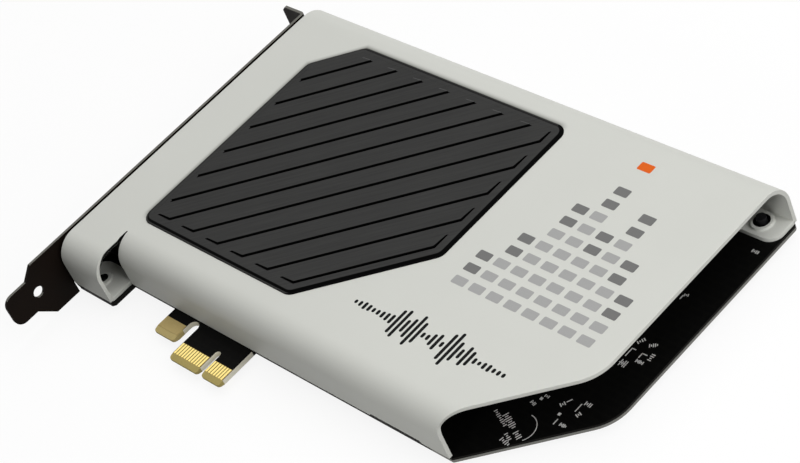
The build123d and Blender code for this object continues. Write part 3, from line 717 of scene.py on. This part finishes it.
def segment_at(i, j):
    """The middle of the meter's segment in a column i and a row j."""
    return METER_X + METER_PITCH[0] * i, METER_Y + METER_PITCH[1] * j


print("corners of a mark:", rounded(0, 0, *SEGMENT).shape[1])

# %% Level meter
METER_LEVELS = (3, 5, 8, 10, 7, 9, 6, 4)
METER_DARK = 2
PEAK_COLUMN = 3
meter = [(i, j) for i, level in enumerate(METER_LEVELS) for j in range(level - METER_DARK)]
tops = [(i, level - 1 - j) for i, level in enumerate(METER_LEVELS) for j in range(METER_DARK)]
peak = (PEAK_COLUMN, METER_LEVELS[PEAK_COLUMN] + 1)
for name, cells in (("print_level_meter", meter), ("print_level_tops", tops)):
    marks = [mark(*segment_at(*cell), *SEGMENT, TOP) for cell in cells]
    make_piece(name, join(*marks))
make_piece("print_peak", mark(*segment_at(*peak), *SEGMENT, TOP))

# %% Sound wave
WAVE_X = 97.0
WAVE_Y = 18.5
WAVE_COUNT = 33
WAVE_PITCH = 1.6
WAVE_W = 0.95
WAVE_R = WAVE_W / 2.01
WAVE_H = (1.2, 13.0)
WAVE_BEATS = (0.83, 0.29)
SWELL = 1.5
wave_i = np.arange(WAVE_COUNT)
swell = np.sin(np.pi * (wave_i + 0.5) / WAVE_COUNT) ** SWELL
beat = np.abs(np.sin(wave_i * WAVE_BEATS[0]) * np.cos(wave_i * WAVE_BEATS[1]))
wave_h = WAVE_H[0] + (WAVE_H[1] - WAVE_H[0]) * swell * beat
wave_x = WAVE_X + WAVE_PITCH * wave_i
strokes = [mark(x, WAVE_Y, WAVE_W, h, WAVE_R, TOP) for x, h in zip(wave_x, wave_h)]
make_piece("print_wave", join(*strokes))

# %% [markdown]
# ## Legend on the board
# White legend shows on the strip of board beyond the cover: outlines of unused places, polarity
# dots, short rows of ticks and the arc of a round part. They are slabs of ink again. The arc is a
# ring segment.

# %% Legend
LEGEND_T = 0.015
LINE_W = 0.27
ARC_W = 0.2
ARC_POINTS = 24
ARC_DEG = (-40, 89)
PLACE_RING = (149.94, 15.76, 4.1)
SHORT_TICK = 0.55
SHORT_EVERY = 3


def direction(turn_deg):
    """The cosine and sine of a direction in degrees."""
    return np.cos(np.radians(turn_deg)), np.sin(np.radians(turn_deg))


def bar(x, y, length, width, turn_deg=0):
    """A bar of ink about its middle, turned on the board."""
    u = np.array([-1, 1, 1, -1]) * length / 2
    v = np.array([-1, -1, 1, 1]) * width / 2
    cos, sin = direction(turn_deg)
    return slab(x + u * cos - v * sin, y + u * sin + v * cos, 0, LEGEND_T)


def arc_mark(x, y, radius, start, stop):
    """A ring segment between two angles in degrees."""
    turn = np.radians(np.linspace(start, stop, ARC_POINTS))
    turn = np.concatenate([turn, turn[::-1]])
    reach = np.repeat([radius, radius + ARC_W], ARC_POINTS)
    return slab(x + reach * np.cos(turn), y + reach * np.sin(turn), 0, LEGEND_T)


def tick_row(x, y, length, height, turn_deg, count):
    """A row of upright ticks of two heights along a direction, from its middle."""
    along = (np.arange(count) - (count - 1) / 2) * length / count
    tall = np.where(np.arange(count) % SHORT_EVERY == 1, SHORT_TICK, 1.0) * height
    cos, sin = direction(turn_deg)
    return [bar(x + a * cos, y + a * sin, LINE_W, h, turn_deg) for a, h in zip(along, tall)]


print("corners of the arc:", len(arc_mark(*PLACE_RING, *ARC_DEG)[0]))

# %% Places of the legend
TICKS = (
    (143.6, 15.6, 6.4, 1.0, -24, 9), (146.3, 16.0, 5.6, 1.8, -24, 8),
    (151.0, 13.7, 2.8, 1.5, -24, 4), (149.2, 12.2, 2.8, 1.0, -24, 4),
    (149.6, 10.7, 3.4, 1.2, -10, 5), (147.8, 23.0, 1.8, 1.0, -15, 4),
    (149.5, 26.2, 1.6, 0.8, 0, 3), (154.6, 26.2, 1.6, 1.2, 60, 3), (159.0, 21.3, 2.1, 1.0, 0, 5),
    (160.3, 29.1, 2.2, 1.2, 0, 4), (160.2, 25.6, 1.5, 1.2, 70, 3), (159.5, 42.9, 2.2, 2.0, 0, 4),
    (158.9, 50.4, 2.4, 1.0, 60, 4), (162.5, 50.7, 2.4, 1.1, 35, 5), (162.8, 45.1, 2.4, 1.0, 0, 6),
    (164.5, 47.5, 2.4, 1.1, 90, 4), (159.4, 66.9, 1.4, 0.9, 20, 3), (165.8, 85.8, 2.2, 1.0, 0, 4),
)
LINES = (
    (155.4, 27.8, 1.5, 60), (156.6, 21.3, 1.8, 90), (158.8, 27.2, 2.6, 90), (159.4, 42.9, 2.2, 0),
    (158.4, 46.3, 2.8, 90), (159.0, 47.6, 1.2, 0), (161.7, 46.8, 1.6, 90), (162.4, 47.5, 1.7, 0),
    (158.7, 65.9, 1.4, 90),
)
DOTS = ((148.7, 25.0), (155.9, 23.5))
DOT_W = 0.8
legend = [arc_mark(*PLACE_RING, *ARC_DEG)]
legend += [bar(x, y, DOT_W, DOT_W) for x, y in DOTS]
legend += [bar(x, y, length, LINE_W, turn) for x, y, length, turn in LINES]
legend += [tick for row in TICKS for tick in tick_row(*row)]
make_piece("board_legend", join(*legend))

# %% [markdown]
# ## Finishes
# A finish is a tree of nodes, and arithmetic reads better than boxes and wires. The class below
# wraps one socket: adding or multiplying wires adds Math nodes, and numbers work on either side.
# Every other node comes from one method that takes its kind, its settings and what feeds its
# sockets.

# %% Wires
class Wire:
    """One output socket of a finish, with arithmetic that adds Math nodes."""

    def __init__(self, tree, socket=None):
        self.tree = tree
        self.socket = socket

    def node(self, kind, feeds=None, output=0, **settings):
        """Adds a node: settings first, then a value or a wire for each socket; gives one output."""
        made = self.tree.nodes.new(kind)
        for name, value in settings.items():
            setattr(made, name, value)
        for key, value in (feeds or {}).items():
            socket = self.pick(made.inputs, key)
            if isinstance(value, Wire):
                self.tree.links.new(value.socket, socket)
            else:
                socket.default_value = value
        return Wire(self.tree, self.pick(made.outputs, output) if made.outputs else None)

    @staticmethod
    def pick(sockets, key):
        """A socket by its number, its identifier or its name."""
        if isinstance(key, int):
            return sockets[key]
        return next(s for s in sockets if key in (s.identifier, s.name))

    def math(self, operation, *others):
        """A Math node on this wire and other wires or numbers."""
        return self.node("ShaderNodeMath", dict(enumerate((self, *others))), operation=operation)

    def turned_math(self, operation, other):
        """A Math node with a number before this wire."""
        return self.node("ShaderNodeMath", {0: other, 1: self}, operation=operation)

    def __add__(self, other):
        return self.math("ADD", other)

    __radd__ = __add__

    def __mul__(self, other):
        return self.math("MULTIPLY", other)

    __rmul__ = __mul__

    def __sub__(self, other):
        return self.math("SUBTRACT", other)

    def __rsub__(self, other):
        return self.turned_math("SUBTRACT", other)

    def __truediv__(self, other):
        return self.math("DIVIDE", other)

    def __rtruediv__(self, other):
        return self.turned_math("DIVIDE", other)

    def __lt__(self, other):
        return self.math("LESS_THAN", other)

    def __gt__(self, other):
        return self.math("GREATER_THAN", other)


reflected = [name for name in vars(Wire) if name.startswith("__r")]
print("reflected operators:", reflected)

# %% [markdown]
# A few words are used in every finish: a colour as seen on screen turned to light values, the place
# on the card in metres, noise of a given grain in millimetres, and a mix of two colours. The last
# helper closes a finish with the shader. Its constants go straight to the shader's sockets.

# %% Colours and places
def ink(red, green, blue):
    """A colour from 0 to 255 as seen on screen, as light values: the usual screen curve undone."""
    seen = np.array([red, green, blue]) / 255
    light = np.where(seen <= 0.04045, seen / 12.92, ((seen + 0.055) / 1.055) ** 2.4)
    return (*light.tolist(), 1.0)


def new_finish(name):
    """An empty material and a wire to start its tree from."""
    material = bpy.data.materials.new(name)
    material.use_nodes = True
    material.node_tree.nodes.clear()
    return material, Wire(material.node_tree)


def place(wire):
    """Object coordinates, in metres, as one vector."""
    return wire.node("ShaderNodeTexCoord", output="Object")


def axis(vector, letter):
    """One axis of a vector."""
    return vector.node("ShaderNodeSeparateXYZ", {"Vector": vector}, output=letter)


print("mid grey as light:", round(ink(128, 128, 128)[0], 3))

# %% Grain and mixes
def stretch(vector, scale, turn_deg=0):
    """A vector turned about the upright axis, then scaled, so that a pattern gets a direction."""
    feeds = {"Vector": vector, "Angle": np.radians(turn_deg)}
    along = vector.node("ShaderNodeVectorRotate", feeds, rotation_type="Z_AXIS")
    return vector.node("ShaderNodeVectorMath", {0: along, 1: scale}, operation="MULTIPLY")


def grain(vector, size, detail=3.0):
    """Noise from 0 to 1 with a grain of a size in millimetres."""
    feeds = {"Vector": vector, "Scale": 1 / (size * MM), "Detail": detail}
    return vector.node("ShaderNodeTexNoise", feeds)


def blend(factor, first, second):
    """A mix of two colours."""
    feeds = {"Factor_Float": factor, "A_Color": first, "B_Color": second}
    return factor.node("ShaderNodeMix", feeds, output="Result_Color", data_type="RGBA")


def bumped(height, strength, depth):
    """A normal from a height from 0 to 1 over a depth in millimetres."""
    feeds = {"Height": height, "Strength": strength, "Distance": depth * MM}
    return height.node("ShaderNodeBump", feeds)


print("a grain of 1 mm has a scale of", 1 / MM)

# %% Closing a finish
def close_finish(material, wire, **feeds):
    """Ends a finish with the shader; feeds name its sockets with _ for a space."""
    named = {key.replace("_", " "): value for key, value in feeds.items()}
    shader = wire.node("ShaderNodeBsdfPrincipled", named)
    wire.node("ShaderNodeOutputMaterial", {"Surface": shader})
    return material


def dress(material, *names):
    """Puts a finish on pieces and nodes by name."""
    for name in names:
        target = bpy.data.objects[name]
        if not target.material_slots:
            target.data.materials.append(material)
        for slot in target.material_slots:
            slot.material = material
    print(material.name, "on", len(names))

# %% [markdown]
# ## Places and masks
# A finish may change from place to place on one piece. A mask is a wire that is 1 in such a place
# and 0 elsewhere. It is worked out from the place on the card in millimetres, so it needs neither
# an unwrapped mesh nor paint.

# %% Places and masks
def card_place(wire):
    """The place on the card as three wires in card millimetres."""
    at = place(wire)
    return [axis(at, letter) / MM - start / MM for letter, start in zip("XYZ", ORIGIN)]


def most(*wires):
    """The greatest of some wires."""
    first, *others = wires
    for other in others:
        first = first.math("MAXIMUM", other)
    return first


def within(wire, width):
    """1 where a distance is 0 or less, falling to 0 at a width."""
    return (1 - wire / width).math("MINIMUM", 1.0).math("MAXIMUM", 0.0)


def past_corner(a, b):
    """Distance outside a rounded corner, from the distances outside its two edges."""
    a, b = most(a + PANEL_R, 0.0), most(b + PANEL_R, 0.0)
    return (a * a + b * b).math("SQRT") - PANEL_R


print("masks read the place from", (ORIGIN / MM).round(2), "mm")

# %% [markdown]
# Hardly any light gets into the screw holes and between the sides of the slit. Soft lamps would
# fill such narrow places, so the finish paints them black as shade, by their place.

# %% Holes and slit of the cover
BORE_EDGE = 0.03
SLIT_SIDE = 0.22
SLIT_LIT = ((0.7, -6.5, 4.0), (0.4, 2.6, 1.6))
SLIT_SOFT = 0.08


def screw_hole_shade(wire):
    """1 inside the screw holes of the feet, which lie in the dark; the finish paints shade there.
    """
    x, y, z = card_place(wire)
    inside = []
    for (spot_x, spot_y), radius in ((LUG_SPOT, SCREW_HOLE_R), (END_SPOT, END_RECESS[0])):
        off_x, off_y = x - spot_x, y - spot_y
        inside.append(off_x * off_x + off_y * off_y < (radius + BORE_EDGE) ** 2)
    return most(*inside) * (z < BOSS_H + BORE_EDGE)


def slit_shade(wire):
    """1 on the sides of the slit deeper than light gets in: all the wall's thickness in front, less
    up the bend, and nearly nothing where the sides lie close together."""
    x, y, z = card_place(wire)
    off = (x - (BAND_X[1] + MAIN_START_X) / 2).math("ABSOLUTE")
    before, up = most(BAND_FRONT_Y + BEND_R - y, 0.0), z - (TOP - BEND_R)
    depth = BEND_R - (before * before + up * up).math("SQRT")
    lit = sum(share * within(y - start, run) for share, start, run in SLIT_LIT)
    return (off < SLIT_SIDE) * (y < SLIT_Y + BORE_EDGE) * within(lit - depth, SLIT_SOFT)


print("the slit is", round(MAIN_START_X - BAND_X[1], 2), "mm wide")

# %% [markdown]
# A narrow shade is painted on the cover along the panel's far edges, where the panel keeps light
# off it. It follows from the distance to the panel's outline, so it needs no lamp of its own.

# %% Shade beside the panel
SHADE_W = 1.9
SHADE_FADE = 3.0


def panel_shade(wire):
    """The painted soft shade along the panel's far edges: it falls with the distance outside the
    outline, and fades towards the diagonal on which the far edges meet the near ones."""
    x, y, _ = card_place(wire)
    (x0, x1), (y0, y1) = PANEL_X, PANEL_Y
    cut = (y - x + x0 + BACK_CUT - y1) / ROOT_2
    outside = most(past_corner(x0 - x, y0 - y), past_corner(x - x1, y - y1), cut)
    across, along = np.array([x1 - x0, y1 - y0]) / np.hypot(x1 - x0, y1 - y0)
    near = (x - x0) * along - (y - y0) * across
    return within(outside, SHADE_W).math("POWER", 2.0) * within(near + SHADE_FADE, SHADE_FADE)


print("the shade is", SHADE_W, "mm wide")

# %% [markdown]
# ## Moulded plastics
# The cover is an off-white moulding with a fine sparked texture: a slow drift of tone, and a grain
# too small to count that softens its shine. The panel is dark and lightly brushed along its slats,
# so its noise is stretched in that direction. What faces sideways on it or lies sunk, in the slits
# and along the rim at its right and front cut, is painted black as shade, and the slats' back ends
# get a painted highlight.

# %% Cover finish
SHADE_DEPTH = 0.85


def cover_finish():
    """Off-white, a slow drift and a fine grain; painted shade by the panel, in the holes and the
    slit.
    """
    material, wire = new_finish("moulded_white")
    at = place(wire)
    drift = grain(at, size=28, detail=2.0)
    fine = grain(at, size=0.35)
    colour = blend(drift * 0.8 + fine * 0.2, ink(204, 205, 199), ink(210, 211, 205))
    # painted shade on the cover along the panel's far edges
    shaded = blend(panel_shade(wire) * SHADE_DEPTH, colour, ink(70, 70, 62))
    # painted shade: black in the screw holes and down the sides of the slit
    holes_shaded = blend(most(screw_hole_shade(wire), slit_shade(wire)), shaded, ink(5, 5, 5))
    return close_finish(material, wire, Base_Color=holes_shaded, Roughness=0.42 + fine * 0.12,
                        Normal=bumped(fine, strength=0.12, depth=0.02), Specular_IOR_Level=0.12)


dress(cover_finish(), "cover_body", "cover_feet")

# %% Panel finish
STEEP = (0.86, 0.1)
FLAT = 0.9
SUNK = 0.1
RIM_OVER = 0.02
CUT_CLEAR = 1.0
LIP_GLINT = 0.5
BRUSH = (0.035, 1.0, 1.0)


def facing_up(wire):
    """1 where a surface faces up, 0 where it is upright: the upward share of its normal."""
    return axis(wire.node("ShaderNodeNewGeometry", output="Normal"), "Z")


def panel_finish():
    """Dark, brushed along the slats; painted shade where steep or sunk, a painted glint, a grey far
    rim.
    """
    material, wire = new_finish("brushed_dark")
    at = place(wire)
    x, y, z = card_place(wire)
    brushed = grain(stretch(at, BRUSH, turn_deg=-45), size=0.55, detail=4.0)
    drift = grain(at, size=14)
    facing = facing_up(wire)
    steep = within(facing - STEEP[0], STEEP[1])
    sunk = z < PLATE_TOP - SUNK
    shade = blend(brushed * 0.75 + drift * 0.25, ink(46, 46, 46), ink(68, 68, 67))
    # painted highlight along the slats' back ends, where their lips catch the light
    lip_end = (y > PANEL_Y[1] - SLAT_EDGE - LIP_R) * (z > PLATE_TOP + SUNK)
    lit = blend(lip_end * LIP_GLINT, shade, ink(130, 130, 130))
    # painted shade: black on steep faces and on what lies sunk, in the slits and along the low rim
    dark = blend(most(steep, sunk), lit, ink(2, 2, 2))
    near_cut = PANEL_X[1] - FRONT_CUT - PANEL_Y[0] - CUT_CLEAR
    far_sides = (x < PANEL_X[1] - PANEL_R) * (x - y < near_cut)
    rim = far_sides * (facing > FLAT) * (z < RIM_TOP + RIM_OVER)
    colour = blend(rim, dark, ink(50, 50, 49))
    return close_finish(material, wire, Base_Color=colour, Roughness=0.5 + brushed * 0.2,
                        Normal=bumped(brushed, strength=0.15, depth=0.05), Specular_IOR_Level=0.02)


dress(panel_finish(), "louvre_top")

# %% [markdown]
# ## Finishes of two tones
# Most small pieces need no more than two close tones, mixed by a grain that also changes the shine
# and may raise the surface. Metal turned or rubbed one way has its grain stretched that way. One
# function makes all of them. The cover's screws come first: dark steel with rings from the lathe.

# %% Two tones
def two_tone(name, first, second, grain_mm, roughness, spread=0.15, metallic=0.0, depth=0.02,
             shine=0.3, along=None):
    """A mix of two tones by a grain, which also adds a spread to the roughness and a bump."""
    material, wire = new_finish(name)
    at = place(wire)
    tone = grain(stretch(at, along) if along else at, size=grain_mm)
    raised = {"Normal": bumped(tone, strength=0.2, depth=depth)} if depth else {}
    return close_finish(material, wire, Base_Color=blend(tone, ink(*first), ink(*second)),
                        Metallic=metallic, Roughness=roughness + tone * spread,
                        Specular_IOR_Level=shine, **raised)


LATHE = (1, 1, 6)
dress(two_tone("screw_steel", (24, 24, 25), (58, 58, 60), 0.6, 0.36, spread=0.2, metallic=0.7,
               depth=0, shine=0.1, along=LATHE), "cover_screws")

# %% [markdown]
# ## Black steel
# The bracket is plated black over steel. Whatever on it faces up when the card lies flat, its
# punched edges above all, gets a painted grey highlight from the light above.

# %% Bracket finish
FACES_UP = 0.8
UP_HIGHLIGHT = 0.9


def bracket_finish():
    """Black plating with a slow cloud of tone, and a painted grey highlight where a face looks up.
    """
    material, wire = new_finish("black_steel")
    at = place(wire)
    cloud = grain(at, size=9)
    fine = grain(at, size=0.25)
    plated = blend(cloud, ink(14, 10, 7), ink(23, 16, 12))
    # painted highlight: grey where a face looks up into the light
    colour = blend((facing_up(wire) > FACES_UP) * UP_HIGHLIGHT, plated, ink(116, 115, 109))
    return close_finish(material, wire, Base_Color=colour, Roughness=0.42 + cloud * 0.16,
                        Normal=bumped(fine, strength=0.1, depth=0.02), Specular_IOR_Level=0.04)


dress(bracket_finish(), "bracket_sheet")

# %% [markdown]
# ## The board
# Both faces carry black solder mask with copper under it, which shows as slightly raised tracks.
# The cut edge is bare laminate, grey from the saw where the mask hasn't run over it, and the bevels
# at the connector show its golden glass. All of it follows from the height on the board and the
# distance from the connector's tip.

# %% Copper of the board
BOARD_T = 1.57
TRACK_CELL, TRACK_GAP, TRACK_SOFT = 9, 0.04, 0.2
DOT_CELL, DOT_SIZE = 5.5, 0.07
IN_PLAN = (1, 1, 0)
BLACK, DIM, WHITE = (0, 0, 0, 1), (0.25, 0.25, 0.25, 1), (1, 1, 1, 1)


def tracks(at):
    """1 on the lines between areas of copper, which lie like bricks in plan."""
    return at.node("ShaderNodeTexBrick", {
        "Vector": stretch(at, IN_PLAN), "Scale": 1 / (TRACK_CELL * MM),
        "Mortar Size": TRACK_GAP, "Mortar Smooth": TRACK_SOFT,
        "Color1": BLACK, "Color2": DIM, "Mortar": WHITE}, output="Fac")


def test_dots(at, height):
    """1 on scattered bare dots of the solder side: near the centres of cells, below mid-height."""
    spots = {"Vector": at, "Scale": 1 / (DOT_CELL * MM)}
    off = at.node("ShaderNodeTexVoronoi", spots, output="Distance")
    return (off < DOT_SIZE) * (height < -BOARD_T / 2)


print("about", round(1 / DOT_CELL**2 * 100, 1), "dots a square centimetre")

# %% Board
TIP_Y = -12.8
BEVEL_L = 1.75
CONNECTOR_X = (30.0, 46.2)
PAD_Y = -4.4
BARE_Y = -7.25
TAB_Y = -0.3
OPEN_X = 134.0
MASK_RUN = 0.7
FACE_SKIN = 0.01


def board_finish():
    """Mask, sawn edge, bare connector, its sides and bevels, each by its place on the board."""
    material, wire = new_finish("black_mask")
    at = place(wire)
    along, from_front, height = card_place(wire)
    inside = (height * -1 - BOARD_T / 2).math("ABSOLUTE") < BOARD_T / 2 - FACE_SKIN
    connector = along > CONNECTOR_X[0]
    bevel = connector * (from_front < TIP_Y + BEVEL_L)
    bare = connector * (from_front < BARE_Y)
    tab_side = connector * inside * (from_front < TAB_Y)
    pad = connector * (along < CONNECTOR_X[1]) * (from_front < PAD_Y)
    copper, dots = tracks(at), test_dots(at, height)
    weave = grain(at, size=0.4)
    mask = blend(weave * 0.6 + copper * 0.4, ink(7, 7, 7), ink(13, 13, 12))
    faces = blend(dots, mask, ink(104, 100, 86))
    laminate = blend(weave, ink(122, 122, 118), ink(144, 143, 138))
    sawn = blend((along > OPEN_X) * (height < -MASK_RUN), ink(24, 23, 21), laminate)
    between = blend(weave, ink(104, 88, 44), ink(128, 110, 60))
    glass = blend(weave, ink(162, 146, 88), ink(186, 170, 110))
    plated = blend(weave, ink(184, 166, 112), ink(196, 178, 122))
    pale = blend(weave, ink(238, 232, 212), ink(248, 244, 228))
    tabs = blend(tab_side, blend(bare, blend(inside, faces, sawn), between), pale)
    colour = blend(pad, blend(bevel, tabs, glass), plated)
    raised = bumped(copper * 0.6 + dots * 0.4, strength=0.15, depth=0.04)
    return close_finish(material, wire, Base_Color=colour, Roughness=0.42 + weave * 0.2,
                        Normal=raised, Specular_IOR_Level=0.03)


dress(board_finish(), "circuit_board")

# %% [markdown]
# ## Gold
# The contacts are plated with hard gold, bright and rubbed along their length by the slot. The
# retention tab's plating is thin and dull, so it is hardly metallic here.

# %% Gold
RUB = (6, 0.6, 1)
CONTACTS = ["edge_contacts_front", "edge_contacts_rear", "jack_rings"]
dress(two_tone("plated_gold", (250, 222, 128), (255, 236, 160), 0.8, 0.16, spread=0.16,
               metallic=1.0, depth=0, shine=0.5, along=RUB), *CONTACTS)
dress(two_tone("dull_gold", (164, 144, 89), (178, 158, 103), 0.5, 0.45, metallic=0.35, depth=0,
               shine=0.5), "retention_plating")

# %% [markdown]
# ## Parts on the board
# The small parts are known by their finishes: matt black epoxy, dark sintered ferrite, bright tin,
# aluminium cans, glossy film blocks. Two tones, a grain and a shine tell them apart.

# %% Parts on the board
JACKS = [f"audio_jack_{i}" for i in range(1, 6)]
dress(two_tone("socket_black", (14, 14, 15), (26, 26, 27), 0.5, 0.42), *JACKS, "optical_socket")
CHIPS = ["audio_processor", "bus_bridge", "converter_chip", "op_amps", "voltage_regulators"]
dress(two_tone("chip_epoxy", (22, 22, 23), (38, 38, 39), 0.3, 0.55), *CHIPS)
TINNED = ["processor_leads", "regulator_tabs", "crystal_oscillators"]
dress(two_tone("tinned_lead", (176, 176, 174), (205, 205, 202), 0.4, 0.25, metallic=1.0), *TINNED)
dress(two_tone("can_aluminium", (170, 172, 175), (200, 202, 204), 0.8, 0.28, metallic=1.0),
      "reservoir_capacitors")
dress(two_tone("film_block", (120, 26, 22), (146, 36, 30), 1.2, 0.3), "film_capacitors")
dress(two_tone("relay_case", (206, 204, 196), (222, 220, 213), 2.0, 0.4), "output_relays")
dress(two_tone("ferrite", (44, 44, 46), (66, 66, 68), 0.25, 0.6, depth=0.05), "power_inductors")
CHIP_PARTS = ["chip_resistors", "chip_capacitors"]
dress(two_tone("ceramic", (120, 96, 70), (150, 124, 96), 0.3, 0.5), *CHIP_PARTS)
dress(two_tone("solder", (186, 187, 188), (214, 214, 212), 0.3, 0.2, metallic=1.0), "solder_joints")

# %% [markdown]
# ## Inks
# Printed ink is nearly flat in tone. Under a lens it breaks up a little at its grain, and it is a
# touch glossier than the moulding under it.

# %% Inks
def ink_finish(name, first, second):
    """An ink between two close tones."""
    return two_tone(name, first, second, grain_mm=0.3, roughness=0.45, depth=0.005, shine=0.06)


dress(ink_finish("ink_grey", (160, 160, 159), (168, 168, 167)), "print_level_meter")
dress(ink_finish("ink_slate", (110, 110, 109), (120, 120, 119)), "print_level_tops")
dress(ink_finish("ink_warm", (216, 94, 28), (226, 104, 36)), "print_peak")
dress(ink_finish("ink_white", (196, 196, 194), (222, 222, 220)), "board_legend")
dress(ink_finish("ink_dark", (8, 8, 8), (18, 18, 18)), "print_wave")

# %% [markdown]
# ## Floor
# The card lies on a plain pale floor. A white floor under strong light would also light the card
# from below, so the floor looks white only to the camera and in reflections, and gives little light
# back to the card. A small share of ordinary paint in what the camera sees keeps the card's shadow.

# %% Floor
FLOOR_SIZE = 4.0
FLOOR_DROP = 0.00002
SHADOW_SHARE = 0.12
SEEN_BY = ("Is Camera Ray", "Is Glossy Ray", "Is Transmission Ray")


def is_seen(wire):
    """1 for what the camera, a reflection or a clear piece sees, 0 for light that only bounces."""
    return sum(wire.node("ShaderNodeLightPath", output=ray) for ray in SEEN_BY).math("MINIMUM", 1.0)


def floor_finish():
    """White where it is seen, with a share of paint for the shadow; grey where it bounces light."""
    material, wire = new_finish("pale_floor")
    paper = blend(grain(place(wire), size=30), ink(132, 132, 130), ink(138, 138, 136))
    bounce = wire.node("ShaderNodeBsdfDiffuse", {"Color": paper})
    shaded = wire.node("ShaderNodeBsdfDiffuse", {"Color": ink(252, 252, 252)})
    white = wire.node("ShaderNodeEmission", {"Color": WHITE, "Strength": 1.0})
    lit = wire.node("ShaderNodeMixShader", {0: SHADOW_SHARE, 1: white, 2: shaded})
    both = wire.node("ShaderNodeMixShader", {0: is_seen(wire), 1: bounce, 2: lit})
    wire.node("ShaderNodeOutputMaterial", {"Surface": both})
    return material


corners = np.array([(-1, -1), (1, -1), (1, 1), (-1, 1)]) * FLOOR_SIZE / 2
floor_z = CAD_BOX[0][2] - FLOOR_DROP
floor_mesh = bpy.data.meshes.new("floor")
floor_mesh.from_pydata([(x, y, floor_z) for x, y in corners], [], [(0, 1, 2, 3)])
floor = bpy.data.objects.new("floor", floor_mesh)
bpy.context.scene.collection.objects.link(floor)
floor_mesh.materials.append(floor_finish())
print("floor at", round(floor_z, 5))

# %% [markdown]
# ## Light
# Product pictures are lit with soft boxes. A key light hangs behind the card and makes the top the
# brightest face, a side light opens the far end, and a weak fill in front has a grid, which narrows
# its beam, so that it brightens the front wall towards one end. A dim sky lights what the lamps
# miss, and it looks white in reflections, as the floor does.

# %% Light
LIGHTS = {
    "key": {"at": (-0.05, 0.41, 1.0), "size": 1.3, "power": 9.2},
    "side": {"at": (1.4, 0.33, 0.8), "size": 1.2, "power": 15.8},
    "fill": {"at": (0.22, -0.8, 0.3), "size": 0.15, "power": 0.046,
             "aim": (0.1, -0.05, 0.0), "grid_deg": 24},
}


def soft_light(name, at, size, power, aim=(0, 0, 0), grid_deg=180):
    """A square soft light at a place, facing an aim, with a grid that narrows its beam."""
    light = bpy.data.lights.new(name, "AREA")
    light.shape = "SQUARE"
    light.size = size
    light.energy = power
    light.spread = np.radians(grid_deg)
    lamp = bpy.data.objects.new(name, light)
    turn = (Vector(at) - Vector(aim)).to_track_quat("Z", "Y").to_matrix().to_4x4()
    lamp.matrix_world = Matrix.Translation(at) @ turn
    bpy.context.scene.collection.objects.link(lamp)
    print(name, "light at", at, "power", power)


for name, settings in LIGHTS.items():
    soft_light(name, **settings)

# %% Sky
SKY = 0.16
world = bpy.data.worlds.new("studio")
world.use_nodes = True
world.node_tree.nodes.clear()
sky = Wire(world.node_tree)
dim = sky.node("ShaderNodeBackground", {"Color": WHITE, "Strength": SKY})
bright = sky.node("ShaderNodeBackground", {"Color": WHITE, "Strength": 1.0})
both = sky.node("ShaderNodeMixShader", {0: is_seen(sky), 1: dim, 2: bright})
sky.node("ShaderNodeOutputWorld", {"Surface": both})
bpy.context.scene.world = world
print("sky strength", SKY)

# %% [markdown]
# ## Camera
# The camera stands where the photograph was taken from. Its place and its lens were solved from
# points of known size on the card, and a turn about its own axis gives the picture its slant.

# %% Camera
CAMERA_AT = Vector((0.410387, -0.209506, 0.408632))
CAMERA_AIM = Vector((0.010438, 0.005945, 0.018590))
CAMERA_ROLL_DEG = -25.31
LENS_MM = 107.80
SENSOR_MM = 36.0
NEAREST = 0.01
camera_data = bpy.data.cameras.new("camera")
camera_data.lens = LENS_MM
camera_data.sensor_width = SENSOR_MM
camera_data.sensor_fit = "HORIZONTAL"
camera_data.clip_start = NEAREST
camera = bpy.data.objects.new("camera", camera_data)
aim = (CAMERA_AIM - CAMERA_AT).to_track_quat("-Z", "Y").to_matrix().to_4x4()
roll = Matrix.Rotation(np.radians(CAMERA_ROLL_DEG), 4, "Z")
camera.matrix_world = Matrix.Translation(CAMERA_AT) @ aim @ roll
bpy.context.scene.collection.objects.link(camera)
bpy.context.scene.camera = camera
bpy.context.scene.view_settings.view_transform = "Standard"
print("camera", round((CAMERA_AT - CAMERA_AIM).length, 3), "m from its aim")

# %% [markdown]
# ## Last update
# Last, the view layer is brought up to date.

# %% Last update
bpy.context.view_layer.update()
